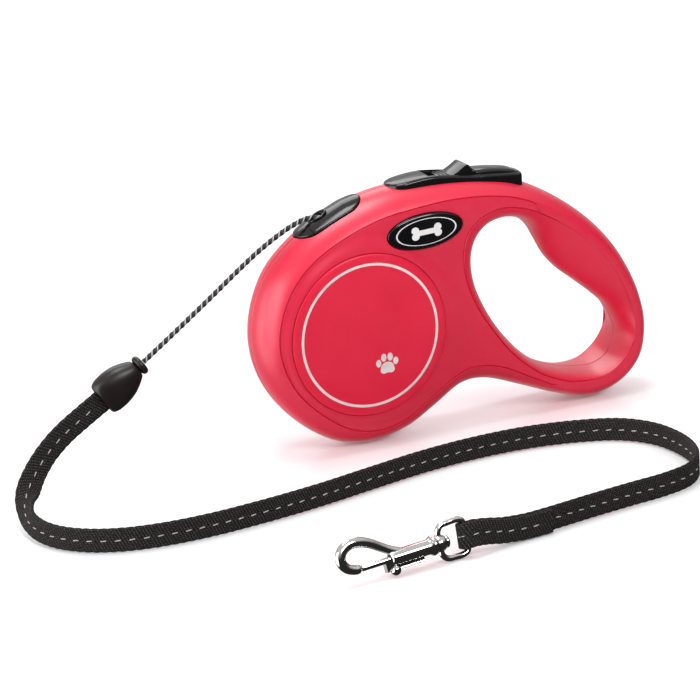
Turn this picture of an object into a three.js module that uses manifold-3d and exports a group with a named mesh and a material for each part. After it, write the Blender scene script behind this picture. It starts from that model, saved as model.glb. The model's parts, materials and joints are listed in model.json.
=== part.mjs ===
// Retractable leash: a moulded two-part housing with a cord drum, a brake, a free cord, a stopper,
// a webbing strap and a swivel snap hook.
// Frame: X along the housing from the casing to the grip, Y across it, Z up from the floor.
import * as THREE from "three";
import { mergeVertices } from "three/addons/utils/BufferGeometryUtils.js";
import Module from "manifold-3d";

const wasm = await Module();
wasm.setup();

// ---------------------------------------------------------------- driving dimensions, mm
const GAP = 0.3; // between touching pieces
const PARTING = 0.15; // each shell half stops this far from the mid-plane
const FACE_Y = 13; // the flat side faces of the housing
const CROWN_RADIUS = 15; // round of the rim, seen along the outline
const WALL = 2.2;
const CAVITY_Y = 9.5; // half-width of the hollow inside the shells
const CHAMBER_Y = 12.5; // half-width of the drum chamber, inside the side plates
const DRUM_ROOM = 31.3; // radius of the drum chamber beyond the general hollow
const DRUM = { x: -39.2, z: 45.4 }; // the drum's axis, parallel to Y
const BOSS = { foot: 36.6, top: 32.6, y: 14.1 }; // raised round that carries the side disc
const DISC = { radius: 31, thickness: 1, y: 15 };
const AXLE = { radius: 4, y: 12.9 };
const BADGE = { x: -13.6, z: 80.9, long: 15.4, short: 6.6, tilt: 2, top: 14.6 };
const CORD_RADIUS = 1.0;
const STRAP = { width: 9, thickness: 1.5 };
const BRAKE = { half: 6.7, slot: 5.2, front: -6.4, rear: 30.2, tip: -22.8, end: 31.4 };
const TEETH = 24;
const TEETH_TOP = 33.4;
const TEETH_FOOT = 30.6;

// Mid-plane outline and side-face line of the housing, clockwise from the grip's end:
// [outline x, outline z, face x, face z].
const OUTER = [
  [81.1, 26.5, 75.4, 27.4],
  [78.4, 12.8, 73.0, 16.4],
  [68.4, 3.4, 65.9, 9.0],
  [54.3, 0, 54.1, 6.2],
  [40, 4.4, 41.3, 8.6],
  [26.2, 10.2, 28.6, 14.8],
  [11.6, 15.6, 14.0, 22.4],
  [0.5, 15.3, 0.6, 23.8],
  [-10.5, 8.9, -13.2, 16.8],
  [-22, 3.0, -24.6, 9.7],
  [-36, 0, -36.4, 7.0],
  [-50.5, 2.3, -48.2, 9.4],
  [-64.3, 11.6, -59.5, 17.2],
  [-75.2, 24.9, -69.4, 28.6],
  [-80.6, 39.5, -74.2, 41.8],
  [-80.2, 55, -73.8, 53.8],
  [-73.8, 71, -68.4, 66.6],
  [-62.5, 82.4, -59.0, 76.4],
  [-48, 90.8, -46.0, 83.4],
  [-32, 95.7, -31.2, 88.2],
  [-18, 97.4, -17.6, 90.0],
  [-2, 97.0, -2.0, 90.9],
  [14, 95.0, 13.2, 89.8],
  [28.3, 91.6, 26.6, 86.6],
  [43.1, 84.1, 40.1, 79.6],
  [56.7, 73.9, 53.2, 69.9],
  [66.8, 63, 62.8, 59.9],
  [73.7, 52, 69.3, 49.8],
  [78.7, 39.8, 73.9, 38.6],
];

// Mid-plane outline and side-face line of the hand opening, clockwise from the grip's end.
const HAND = [
  [69.9, 25.5, 73.6, 28.2],
  [69.2, 19.5, 71.8, 21.6],
  [66.2, 14.6, 67.8, 15.8],
  [60.0, 11.8, 60.7, 11.0],
  [53.0, 11.9, 52.8, 9.9],
  [44.5, 13.6, 43.6, 11.0],
  [35.3, 17.6, 33.8, 15.1],
  [28.0, 23.2, 26.5, 20.4],
  [22.1, 29.9, 19.7, 26.9],
  [16.9, 37.2, 13.6, 35.3],
  [12.4, 46.0, 7.4, 45.4],
  [9.2, 55.5, 3.2, 56.0],
  [8.8, 64.5, 1.6, 66.0],
  [11.2, 71.2, 3.6, 75.8],
  [16.0, 75.9, 9.8, 81.6],
  [22.6, 77.5, 19.0, 83.9],
  [29.5, 76.2, 29.0, 81.9],
  [34.6, 72.0, 39.0, 76.9],
  [37.8, 65.8, 47.0, 71.6],
  [41.0, 59.3, 53.4, 66.8],
  [46.0, 53.2, 58.6, 61.4],
  [53.0, 47.1, 63.8, 54.9],
  [60.6, 40.4, 68.8, 47.0],
  [66.2, 34.3, 72.1, 38.8],
];

// Free cord from inside the outlet to the stopper's collar.
const CORD_ROUTE = [
  [-40.6, -1.2, 76.7],
  [-43.6, -0.8, 82.4],
  [-47.4, -0.3, 87.2],
  [-51.2, 0, 89.6],
  [-55.6, 0, 89.8],
  [-61.4, -0.5, 88.3],
  [-68.3, -1, 85.3],
  [-75.9, -1.4, 81.1],
  [-83.2, -1.8, 76.4],
  [-90.3, -2.1, 71.5],
  [-97.7, -2.5, 66.4],
  [-105.2, -2.8, 61.3],
  [-112.6, -3.1, 56.3],
  [-119.4, -3.4, 51.8],
  [-124.6, -3.6, 48.35],
];

const STOPPER = { x: -124.9, y: -3.6, z: 48.15, pitch: 33.5, collar: 3, length: 20.2 };

// Strap from the stopper to the end of its sewn fold: [x, y, z, upper edge's direction x, y, z].
const STRAP_ROUTE = [
  [-142.3, -3.9, 36.65, 0.55, 0, -0.83],
  [-150.0, -4.4, 32.3, 0.5, 0, -0.86],
  [-158.0, -5.2, 27.6, 0.55, 0, -0.83],
  [-165.2, -6.6, 22.2, 0.66, 0, -0.75],
  [-171.0, -9.0, 16.6, 0.8, -0.05, -0.6],
  [-175.6, -13.2, 11.6, 0.95, -0.1, -0.25],
  [-178.8, -20.0, 8.0, 0.95, 0.1, 0.3],
  [-180.2, -29.0, 5.9, 0.6, 0.2, 0.8],
  [-178.6, -38.6, 5.0, 0.25, 0.15, 0.95],
  [-174.0, -47.6, 4.75, 0.05, 0, 1],
  [-166.0, -55.5, 4.75, 0, 0, 1],
  [-156.0, -60.6, 4.75, 0, 0, 1],
  [-144.0, -63.4, 4.75, 0, 0, 1],
  [-128.0, -64.3, 4.75, 0, 0, 1],
  [-106.0, -62.4, 4.75, 0, 0, 1],
  [-81.0, -58.2, 4.75, 0, 0, 1],
  [-58.0, -52.6, 4.75, 0, 0, 1],
  [-36.0, -47.6, 4.75, 0, 0, 1],
  [-14.0, -45.0, 4.75, 0, 0, 1],
  [8.0, -45.6, 4.75, 0, 0, 1],
  [27.0, -50.2, 4.75, 0, 0, 1],
  [41.0, -57.2, 4.75, 0, 0, 1],
  [48.8, -67.6, 4.75, 0, 0, 1],
  [51.6, -80.0, 4.75, 0, 0, 1],
  [51.0, -93.0, 4.75, 0, 0, 1],
  [46.6, -105.2, 4.75, 0, 0, 1],
  [38.4, -113.4, 4.75, 0, 0, 1],
  [26.4, -117.4, 4.75, 0, 0, 1],
  [12.0, -119.2, 4.75, 0, 0, 1],
  [-6.0, -121.8, 4.75, 0, 0, 1],
];
// The sewn fold round the ring's bar: distances along the strap from the bar and to its side.
const FOLD = [
  [33, 1],
  [24, 0.9],
  [15, 0.95],
  [8.5, 1.35],
  [3.5, 2.1],
  [0.4, 2.3],
  [-1.6, 1.65],
  [-2.3, 0],
  [-1.6, -1.65],
  [0.4, -2.3],
  [3.5, -2.1],
  [8.5, -1.35],
  [15, -0.95],
  [24, -0.9],
  [34, -0.9],
];
const FOLD_PLACE = { heading: 5.3, rise: 12, low: 4.75 };

// Snap hook: its own frame has S along the barrel from the swivel to the nose, V up, W across.
const HOOK = { x: -69.6, y: -130.2, z: 6.9, yaw: 6, pitch: -2.5, roll: 18 };
const RING = { tilt: 14, wire: 1.1, barS: -12.4 };
const BARREL = { radius: 2.7, length: 17.5, bore: 1.6, boreStart: 2 };
const BOLT = { radius: 1.1, tail: 12.8, nose: 28.7, ballS: 16.4, ballV: -4.0, ball: 1.9 };

// ---------------------------------------------------------------- geometry helpers

// A closed geometry as a manifold-3d solid.
function solid(geometry) {
  const plain = geometry.clone();
  for (const name of Object.keys(plain.attributes))
    if (name !== "position") plain.deleteAttribute(name);
  const merged = mergeVertices(plain, 1e-4);
  const made = new wasm.Manifold(
    new wasm.Mesh({
      numProp: 3,
      vertProperties: merged.attributes.position.array,
      triVerts: new Uint32Array(merged.index.array),
    }),
  );
  return made;
}

// A manifold-3d solid as a geometry.
function geometryOf(manifold) {
  const mesh = manifold.getMesh();
  const geometry = new THREE.BufferGeometry();
  geometry.setAttribute("position", new THREE.BufferAttribute(mesh.vertProperties, 3));
  geometry.setIndex(new THREE.BufferAttribute(mesh.triVerts, 1));
  geometry.computeVertexNormals();
  return geometry;
}

// Indexed triangles as a geometry whose faces point out.
function closedGeometry(vertices, faces) {
  let volume = 0;
  const corner = [new THREE.Vector3(), new THREE.Vector3(), new THREE.Vector3()];
  for (const face of faces) {
    face.forEach((v, i) => corner[i].fromArray(vertices[v]));
    volume += corner[0].dot(corner[1].clone().cross(corner[2]));
  }
  const order = volume < 0 ? faces.map(([a, b, c]) => [a, c, b]) : faces;
  const geometry = new THREE.BufferGeometry();
  geometry.setAttribute("position", new THREE.Float32BufferAttribute(vertices.flat(), 3));
  geometry.setIndex(order.flat());
  geometry.computeVertexNormals();
  return geometry;
}

// Rows of numbers on a smooth closed curve through the given rows.
function closedSpline(rows, steps) {
  const out = [];
  rows.forEach((b, i) => {
    const a = rows.at(i - 1);
    const c = rows[(i + 1) % rows.length];
    const d = rows[(i + 2) % rows.length];
    for (let k = 0; k < steps; k++) {
      const t = k / steps;
      out.push(b.map((_, j) => splineValue(a[j], b[j], c[j], d[j], t)));
    }
  });
  return out;
}

function splineValue(a, b, c, d, t) {
  const slopeB = (c - a) / 2;
  const slopeC = (d - b) / 2;
  const cubic = 2 * b - 2 * c + slopeB + slopeC;
  const square = 3 * c - 3 * b - 2 * slopeB - slopeC;
  return ((cubic * t + square) * t + slopeB) * t + b;
}

// Outline rows moved outwards along the outline's normal: "out" is away from the enclosed area.
function grow(rows, distance) {
  let area = 0;
  rows.forEach((p, i) => {
    const q = rows[(i + 1) % rows.length];
    area += p[0] * q[1] - q[0] * p[1];
  });
  const side = area > 0 ? distance : -distance;
  return rows.map((p, i) => {
    const a = rows.at(i - 1);
    const b = rows[(i + 1) % rows.length];
    const normal = new THREE.Vector2(b[1] - a[1], a[0] - b[0]).normalize().multiplyScalar(side);
    return [p[0] + normal.x, p[1] + normal.y, p[2] + normal.x, p[3] + normal.y];
  });
}

// How far the rim has turned in towards the face line at a distance y from the mid-plane, 0 to 1.
function crownShare(y) {
  const drop = (at) => CROWN_RADIUS - Math.sqrt(CROWN_RADIUS ** 2 - at ** 2);
  return drop(y) / drop(FACE_Y);
}

// A solid through one outline at several distances from the mid-plane, on one side of it.
function loft(rows, side, levels) {
  const count = rows.length;
  const vertices = [];
  const faces = [];
  for (const y of levels) {
    const share = crownShare(Math.min(y, FACE_Y));
    for (const [mx, mz, fx, fz] of rows)
      vertices.push([mx + (fx - mx) * share, side * y, mz + (fz - mz) * share]);
  }
  for (let low = 0; low < (levels.length - 1) * count; low += count)
    for (let i = 0; i < count; i++) {
      const [a, b] = [low + i, low + ((i + 1) % count)];
      faces.push([a, b, b + count], [a, b + count, a + count]);
    }
  const top = (levels.length - 1) * count;
  for (const [a, b, c] of capTriangles(vertices.slice(0, count))) faces.push([c, b, a]);
  for (const tri of capTriangles(vertices.slice(top))) faces.push(tri.map((i) => top + i));
  return solid(closedGeometry(vertices, faces));
}

// Triangles that fill a flat loop, each running the same way round as the loop.
function capTriangles(loop) {
  const outline = loop.map(([x, , z]) => new THREE.Vector2(x, z));
  const way = Math.sign(THREE.ShapeUtils.area(outline));
  return THREE.ShapeUtils.triangulateShape(outline, []).map((tri) => {
    const same = Math.sign(THREE.ShapeUtils.area(tri.map((i) => outline[i]))) === way;
    return same ? tri : tri.toReversed();
  });
}

// One half of the housing's form, from the mid-plane to a flat face at y = depth.
// side is -1 for the front half and 1 for the rear half; margin grows it all round.
function halfForm(side, start, depth, margin, steps = 2) {
  const levels = [4.8, 8.2, 11].filter((y) => y < depth - 1);
  const rim = loft(grow(closedSpline(OUTER, steps), margin), side, [start, ...levels, depth]);
  const hand = loft(grow(closedSpline(HAND, steps), -margin), side, [start - 1, ...levels, depth, depth + 1]);
  return rim.subtract(hand);
}

// A cylinder with its axis along Y.
function rod(radius, yLow, yHigh, x, z, sides = 32) {
  const geometry = new THREE.CylinderGeometry(radius, radius, yHigh - yLow, sides);
  return solid(geometry.translate(x, (yLow + yHigh) / 2, z));
}

// A turned piece about an axis along Y: profile rows are [radius, y].
function turned(profile, x, z, sides = 40) {
  const points = profile.map(([r, y]) => new THREE.Vector2(r, y));
  return outward(new THREE.LatheGeometry(points, sides).translate(x, 0, z));
}

// The solid of a geometry, turned over if its faces point in.
function outward(geometry) {
  const plain = geometry.clone();
  plain.deleteAttribute("normal");
  plain.deleteAttribute("uv");
  const merged = mergeVertices(plain, 1e-4);
  const position = merged.attributes.position;
  const vertices = [];
  for (let i = 0; i < position.count; i++)
    vertices.push([position.getX(i), position.getY(i), position.getZ(i)]);
  const faces = [];
  const index = merged.index.array;
  for (let i = 0; i < index.length; i += 3) {
    const face = [index[i], index[i + 1], index[i + 2]];
    if (new Set(face).size === 3) faces.push(face);
  }
  return solid(closedGeometry(vertices, faces));
}

// A flat outline in the XZ plane, given as a THREE.Shape, extruded along Y.
function plate(shape, yLow, yHigh, curveSegments = 16) {
  const options = { depth: yHigh - yLow, bevelEnabled: false, curveSegments };
  const geometry = new THREE.ExtrudeGeometry(shape, options);
  return outward(geometry.rotateX(Math.PI / 2).translate(0, yHigh, 0));
}

function polygon(points) {
  return new THREE.Shape(points.map(([x, z]) => new THREE.Vector2(x, z)));
}

// A flat outline in the XY plane extruded along Z.
function post(shape, zLow, zHigh, curveSegments = 16) {
  const options = { depth: zHigh - zLow, bevelEnabled: false, curveSegments };
  return outward(new THREE.ExtrudeGeometry(shape, options).translate(0, 0, zLow));
}

function box(low, high) {
  const size = high.map((v, i) => v - low[i]);
  const centre = high.map((v, i) => (v + low[i]) / 2);
  return solid(new THREE.BoxGeometry(...size).translate(...centre));
}

// A round or flat bar along a curve.
function bar(curve, section, steps) {
  const options = { steps, extrudePath: curve, bevelEnabled: false };
  return outward(new THREE.ExtrudeGeometry(section, options));
}

function roundSection(radius, sides) {
  const points = [];
  for (let i = 0; i < sides; i++) {
    const angle = (2 * Math.PI * (i + 0.5)) / sides;
    points.push([radius * Math.cos(angle), radius * Math.sin(angle)]);
  }
  return polygon(points);
}

function smoothCurve(points) {
  const vectors = points.map((p) => new THREE.Vector3(...p));
  return new THREE.CatmullRomCurve3(vectors, false, "centripetal");
}

const parts = new THREE.Group();

// Adds one named piece made of a geometry or a manifold-3d solid.
function piece(name, form, color, roughness, metalness = 0, parent = parts) {
  const geometry = form.isBufferGeometry ? form : geometryOf(form);
  const material = new THREE.MeshStandardMaterial({ color, roughness, metalness });
  const mesh = new THREE.Mesh(geometry, material);
  mesh.name = name;
  parent.add(mesh);
  return mesh;
}

const RED = 0xd8173a;
const BLACK = 0x101012;
const STEEL = 0xc9ccd0;

// ---------------------------------------------------------------- housing

const SCREWS = [
  [-65.3, 73.0],
  [-13.6, 13.8],
  [-0.4, 58.5],
  [53.4, 61.8],
  [75.3, 22.5],
];
const SCREW = { head: 2.6, headLow: 5.2, headHigh: 7.0, shank: 1.25, tip: -7.5 };

// The badge's outline, grown by a margin.
function badgeShape(margin) {
  const shape = new THREE.Shape();
  const tilt = THREE.MathUtils.degToRad(BADGE.tilt);
  shape.absellipse(BADGE.x, BADGE.z, BADGE.long + margin, BADGE.short + margin, 0, 2 * Math.PI, false, tilt);
  return shape;
}

// The brake frame's outline seen from above, pointed at the front: grown by a margin.
function brakeShape(margin) {
  const half = BRAKE.half + margin;
  const tip = BRAKE.tip - margin;
  const end = BRAKE.end + margin;
  const shape = new THREE.Shape();
  shape.moveTo(tip, 0);
  shape.bezierCurveTo(tip + 2.5, -half * 0.62, -14, -half, -3, -half);
  shape.lineTo(end - 3, -half);
  shape.quadraticCurveTo(end, -half, end, -half + 3);
  shape.lineTo(end, half - 3);
  shape.quadraticCurveTo(end, half, end - 3, half);
  shape.lineTo(-3, half);
  shape.bezierCurveTo(-14, half, tip + 2.5, half * 0.62, tip, 0);
  return shape;
}

// The slot in the top of the housing under the brake frame.
function brakeSlot(margin) {
  const half = BRAKE.slot - margin;
  return box([BRAKE.front + margin, -half, 80], [BRAKE.rear - margin, half, 110]);
}

// A band that follows the rim at the outlet, from depth below to height above the outline.
function rimBand(below, above, from, to) {
  const rows = closedSpline(OUTER, 6);
  const inner = grow(rows, -below);
  const outer = grow(rows, above);
  const keep = rows.map((_, i) => i).filter((i) => rows[i][1] > 80 && rows[i][0] > from && rows[i][0] < to);
  const points = keep.map((i) => outer[i]).concat(keep.map((i) => inner[i]).reverse());
  return plate(polygon(points.map(([x, z]) => [x, z])), -9, 9);
}

// The outlet insert's pill-shaped column, square to the rim at its middle, grown by a margin.
const OUTLET = { x: -48.2, z: 90.2, tilt: 24.5, length: 28.6, half: 6.4 };
function outletColumn(margin) {
  const half = OUTLET.half + margin;
  const straight = OUTLET.length / 2 - OUTLET.half;
  const shape = new THREE.Shape();
  shape.moveTo(-straight, -half);
  shape.lineTo(straight, -half);
  shape.absarc(straight, 0, half, -Math.PI / 2, Math.PI / 2, false);
  shape.lineTo(-straight, half);
  shape.absarc(-straight, 0, half, Math.PI / 2, (3 * Math.PI) / 2, false);
  const geometry = new THREE.ExtrudeGeometry(shape, { depth: 24, bevelEnabled: false, curveSegments: 10 });
  geometry.translate(0, 0, -12).rotateY(THREE.MathUtils.degToRad(-OUTLET.tilt));
  return outward(geometry.translate(OUTLET.x, 0, OUTLET.z));
}

// The passage that the cord takes out of the housing.
function cordPassage(radius) {
  const points = [
    [-45.2, -0.3, 82],
    [-48.4, -0.2, 87],
    [-52.2, 0, 90.2],
    [-57.5, 0, 92.2],
  ];
  return bar(smoothCurve(points), roundSection(radius, 12), 10);
}

function housingHalf(side) {
  const body = halfForm(side, PARTING, FACE_Y, 0);
  const low = side < 0 ? -DISC.y : 0;
  const high = side < 0 ? 0 : DISC.y;
  const y = (value) => side * value;
  const boss = turned(
    [
      [0, y(10)],
      [BOSS.foot, y(FACE_Y - 0.6)],
      [BOSS.foot, y(FACE_Y)],
      [BOSS.top, y(BOSS.y)],
      [0, y(BOSS.y)],
    ],
    DRUM.x,
    DRUM.z,
  );
  const solidBody = body.add(boss);
  const cavity = halfForm(side, 0, CAVITY_Y, -WALL, 1);
  const span = (a, b) => [Math.min(y(a), y(b)), Math.max(y(a), y(b))];
  const chamber = rod(DRUM_ROOM, ...span(-1, CHAMBER_Y), DRUM.x, DRUM.z, 40);
  let shell = solidBody.subtract(cavity).subtract(chamber);
  for (const [x, z] of SCREWS)
    shell = shell.add(rod(3.9, ...span(PARTING, 12), x, z, 20).intersect(solidBody));
  if (side < 0) shell = shell.add(rod(6.4, -13.4, -9.2, DRUM.x, DRUM.z, 24));
  const seat = DISC.y - DISC.thickness - GAP;
  shell = shell.subtract(rod(DISC.radius + GAP, ...span(seat, DISC.y + 2), DRUM.x, DRUM.z, 40));
  shell = shell.subtract(rod(AXLE.radius + GAP, ...span(0, AXLE.y + GAP), DRUM.x, DRUM.z, 24));
  shell = shell.subtract(plate(badgeShape(GAP), ...span(12.2, 20), 14));
  for (const [x, z] of SCREWS) {
    if (side < 0) {
      shell = shell.subtract(rod(SCREW.shank + GAP, SCREW.tip - GAP, 1, x, z, 12));
    } else {
      shell = shell.subtract(rod(SCREW.shank + GAP, -1, 20, x, z, 12));
      shell = shell.subtract(rod(SCREW.head + GAP, SCREW.headLow - GAP, 20, x, z, 16));
    }
  }
  shell = shell.subtract(brakeSlot(-GAP).intersect(box([-30, low, 80], [50, high, 110])));
  const band = rimBand(3.2 + GAP, 4, -66, -28).intersect(outletColumn(GAP));
  shell = shell.subtract(band);
  shell = shell.subtract(cordPassage(2.2));
  return largest(shell);
}

// The largest body of a solid: thin slivers left by a cut are dropped.
function largest(manifold) {
  return manifold.decompose().sort((a, b) => b.volume() - a.volume())[0];
}

piece("housing_front", housingHalf(-1), RED, 0.42);
piece("housing_rear", housingHalf(1), RED, 0.42);

// Side discs, slightly dished at the edge.
for (const [name, side] of [
  ["side_disc_front", -1],
  ["side_disc_rear", 1],
]) {
  const profile = [
    [0, DISC.y - DISC.thickness],
    [DISC.radius, DISC.y - DISC.thickness],
    [DISC.radius, DISC.y - 0.6],
    [DISC.radius - 0.7, DISC.y - 0.15],
    [DISC.radius - 3, DISC.y],
    [0, DISC.y],
  ];
  piece(name, turned(profile.map(([r, y]) => [r, side * y]), DRUM.x, DRUM.z), RED, 0.4);
}

// Domed oval badges.
function badge(side) {
  const bottom = 12.5;
  const rings = [
    [bottom, 1],
    [13.6, 1],
    [14.1, 0.93],
    [14.45, 0.75],
    [BADGE.top, 0.45],
  ];
  const outline = badgeShape(0).getPoints(14).slice(0, -1);
  const vertices = rings.flatMap(([y, share]) =>
    outline.map((p) => [BADGE.x + (p.x - BADGE.x) * share, side * y, BADGE.z + (p.y - BADGE.z) * share]),
  );
  const count = outline.length;
  const faces = [];
  for (let r = 0; r + 1 < rings.length; r++)
    for (let i = 0; i < count; i++) {
      const j = (i + 1) % count;
      const [a, b, c, d] = [r * count + i, r * count + j, (r + 1) * count + j, (r + 1) * count + i];
      faces.push([a, b, c], [a, c, d]);
    }
  const lowCentre = vertices.push([BADGE.x, side * bottom, BADGE.z]) - 1;
  const topCentre = vertices.push([BADGE.x, side * BADGE.top, BADGE.z]) - 1;
  const top = (rings.length - 1) * count;
  for (let i = 0; i < count; i++) {
    const j = (i + 1) % count;
    faces.push([lowCentre, j, i], [topCentre, top + i, top + j]);
  }
  return closedGeometry(vertices, faces);
}
piece("badge_front", badge(-1), BLACK, 0.12);
piece("badge_rear", badge(1), BLACK, 0.12);

// Screws, driven from the rear side.
function screw(x, z) {
  const profile = [
    [0, SCREW.tip],
    [0.5, SCREW.tip],
    [SCREW.shank, SCREW.tip + 1.6],
    [SCREW.shank, SCREW.headLow],
    [SCREW.head, SCREW.headLow],
    [SCREW.head, SCREW.headHigh - 0.5],
    [SCREW.head - 0.7, SCREW.headHigh],
    [0, SCREW.headHigh],
  ];
  const cross = 1.5;
  const slot = 0.45;
  const top = SCREW.headHigh;
  const cutA = box([x - cross, top - 1, z - slot], [x + cross, top + 1, z + slot]);
  const cutB = box([x - slot, top - 1, z - cross], [x + slot, top + 1, z + cross]);
  return turned(profile, x, z, 12).subtract(cutA).subtract(cutB);
}
SCREWS.forEach(([x, z], i) => piece("housing_screw_" + (i + 1), screw(x, z), STEEL, 0.35, 1));

// Outlet insert, set in the rim, with the hole for the cord.
const outlet = rimBand(3.2, 0.7, -64, -30).intersect(outletColumn(0)).subtract(cordPassage(1.9));
piece("cord_outlet", largest(outlet), BLACK, 0.3);

// ---------------------------------------------------------------- brake

// The frame round the brake: a pointed plate in front, then walls on both sides of the slot.
const FRAME_TOP = [
  [-24, 97.8],
  [-18, 98.6],
  [-12, 99.2],
  [-7, 99.4],
  [-3, 98.2],
  [2, 97.5],
  [9, 96.9],
  [17.6, 96.1],
  [24, 95.4],
  [35, 94.1],
];
function brakeFrame() {
  const side = polygon([...FRAME_TOP, [36, 82], [-24, 82]]);
  const column = plate(side, -9, 9).intersect(post(brakeShape(0), 80, 110));
  const rim = halfForm(-1, 0, FACE_Y, GAP).add(halfForm(1, 0, FACE_Y, GAP));
  return largest(column.subtract(rim).subtract(brakeSlot(0)));
}
piece("brake_cover", brakeFrame(), BLACK, 0.18);

const INNER_HALF = BRAKE.slot - GAP;

// The button: a crowned top and a skirt that reaches down into the housing.
function brakeButton() {
  const rear = BRAKE.rear - GAP;
  const front = 12.4;
  const side = [
    [front, 98.2],
    [18, 97.6],
    [24, 96.8],
    [27.5, 96.1],
    [rear - 0.8, 95.5],
    [rear, 94.7],
    [rear, 88.6],
    [front, 88.6],
  ];
  const middle = plate(polygon(side), -3.2, 3.2);
  const edge = plate(polygon(side.map(([x, z]) => [x, z > 90 ? z - 0.9 : z])), -INNER_HALF, INNER_HALF);
  return middle.add(edge);
}
piece("brake_button", brakeButton(), BLACK, 0.2);

// The locking slider with its thumb hump.
function lockSlider() {
  const side = [
    [-2.1, 92.4],
    [12.1, 92.4],
    [12.1, 98.0],
    [11.6, 98.7],
    [10.6, 100.2],
    [9.6, 100.9],
    [8.4, 101.0],
    [7.2, 100.5],
    [5.0, 98.8],
    [3.0, 97.7],
    [0, 97.2],
    [-2.1, 97.3],
  ];
  return plate(polygon(side), -INNER_HALF, INNER_HALF);
}
piece("lock_slider", lockSlider(), BLACK, 0.2);

// The pawl: an arm beside the drum's toothed flange, pushed down by the button's skirt.
const PAWL = { yLow: -9.2, yHigh: -6.6, angle: 75, nose: 1.1 };
function brakePawl() {
  const angle = THREE.MathUtils.degToRad(PAWL.angle);
  const tipRadius = TEETH_TOP + 1.2;
  const tip = [DRUM.x + tipRadius * Math.cos(angle), DRUM.z + tipRadius * Math.sin(angle)];
  const arm = [
    [tip[0] - PAWL.nose, tip[1]],
    [tip[0] + PAWL.nose, tip[1] - 0.3],
    [tip[0] + PAWL.nose + 2.2, tip[1] + 4.2],
    [-6, 85.6],
    [17.5, 86.0],
    [17.5, 88.3],
    [-8, 88.3],
    [tip[0] - 1.5, tip[1] + 8.5],
    [tip[0] - PAWL.nose - 1.2, tip[1] + 6],
  ];
  const pad = box([13, PAWL.yLow, 86], [17.5, 4, 88.3]);
  return plate(polygon(arm), PAWL.yLow, PAWL.yHigh).add(pad);
}
piece("brake_pawl", brakePawl(), 0xe8e8e4, 0.5);

// A helical spring with closed ends, about an axis through the origin along Z.
function helix(radius, wire, low, high, turns, stepsPerTurn, sides) {
  const points = [];
  const count = turns * stepsPerTurn;
  for (let i = 0; i <= count; i++) {
    const angle = (2 * Math.PI * i) / stepsPerTurn;
    const rise = THREE.MathUtils.smoothstep(i / count, 0.02, 0.98);
    const z = low + wire + (high - low - 2 * wire) * rise;
    points.push([radius * Math.cos(angle), radius * Math.sin(angle), z]);
  }
  return bar(smoothCurve(points), roundSection(wire, sides), count);
}
const buttonSpring = helix(2, 0.28, 80.4, 88.3, 5, 8, 6).translate([25, 0, 0]);
piece("brake_spring", buttonSpring, STEEL, 0.3, 1);

// ---------------------------------------------------------------- drum

const HUB = { bore: 4.4, outer: 17, flange: 33.2 };
const CHANNEL = { low: -6.8, high: 4.6 };
function drum() {
  const profile = [
    [HUB.bore, CHANNEL.low - 2],
    [14.6, CHANNEL.low - 2],
    [14.6, CHANNEL.low],
    [HUB.outer, CHANNEL.low],
    [HUB.outer, CHANNEL.high],
    [HUB.flange, CHANNEL.high],
    [HUB.flange, 6.1],
    [27, 6.1],
    [27, 11.1],
    [25.6, 11.1],
    [25.6, 6.1],
    [HUB.bore, 6.1],
    [HUB.bore, CHANNEL.low - 2],
  ];
  return turned(profile, DRUM.x, DRUM.z, 36);
}
piece("drum", drum(), 0x2c2e33, 0.5);

// Toothed flange, clipped on the hub: the gaps lie at whole steps from the X axis.
function toothedFlange() {
  const shape = new THREE.Shape();
  const step = (2 * Math.PI) / TEETH;
  for (let i = 0; i < TEETH; i++) {
    const corners = [
      [TEETH_FOOT, i * step - 0.3 * step],
      [TEETH_FOOT, i * step + 0.3 * step],
      [TEETH_TOP, i * step + 0.36 * step],
      [TEETH_TOP, i * step + 0.64 * step],
    ];
    for (const [radius, angle] of corners) {
      const x = DRUM.x + radius * Math.cos(angle);
      const z = DRUM.z + radius * Math.sin(angle);
      if (i === 0 && angle < 0) shape.moveTo(x, z);
      else shape.lineTo(x, z);
    }
  }
  const bore = new THREE.Path();
  bore.absarc(DRUM.x, DRUM.z, 14.6 + GAP, 0, 2 * Math.PI, true);
  shape.holes.push(bore);
  return plate(shape, CHANNEL.low - 1.9, CHANNEL.low - GAP, 32);
}
piece("drum_flange", toothedFlange(), 0x2c2e33, 0.5);

// Wound cord, as one ring between the flanges.
const winding = [
  [HUB.outer + GAP, CHANNEL.low + GAP],
  [29.6, CHANNEL.low + GAP],
  [30, CHANNEL.low + 1.2],
  [30, CHANNEL.high - 1.2],
  [29.6, CHANNEL.high - GAP],
  [HUB.outer + GAP, CHANNEL.high - GAP],
  [HUB.outer + GAP, CHANNEL.low + GAP],
];
piece("cord_winding", turned(winding, DRUM.x, DRUM.z, 32), 0x1a1a1a, 0.8);

// Fixed spindle, slotted at the spring's end.
function axle() {
  const pin = rod(AXLE.radius, -AXLE.y, AXLE.y, DRUM.x, DRUM.z, 24);
  const slot = box([DRUM.x - 0.5, 5.5, DRUM.z - 6], [DRUM.x + 0.5, 14, DRUM.z + 6]);
  return pin.subtract(slot);
}
piece("axle", axle(), STEEL, 0.4, 1);

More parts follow.
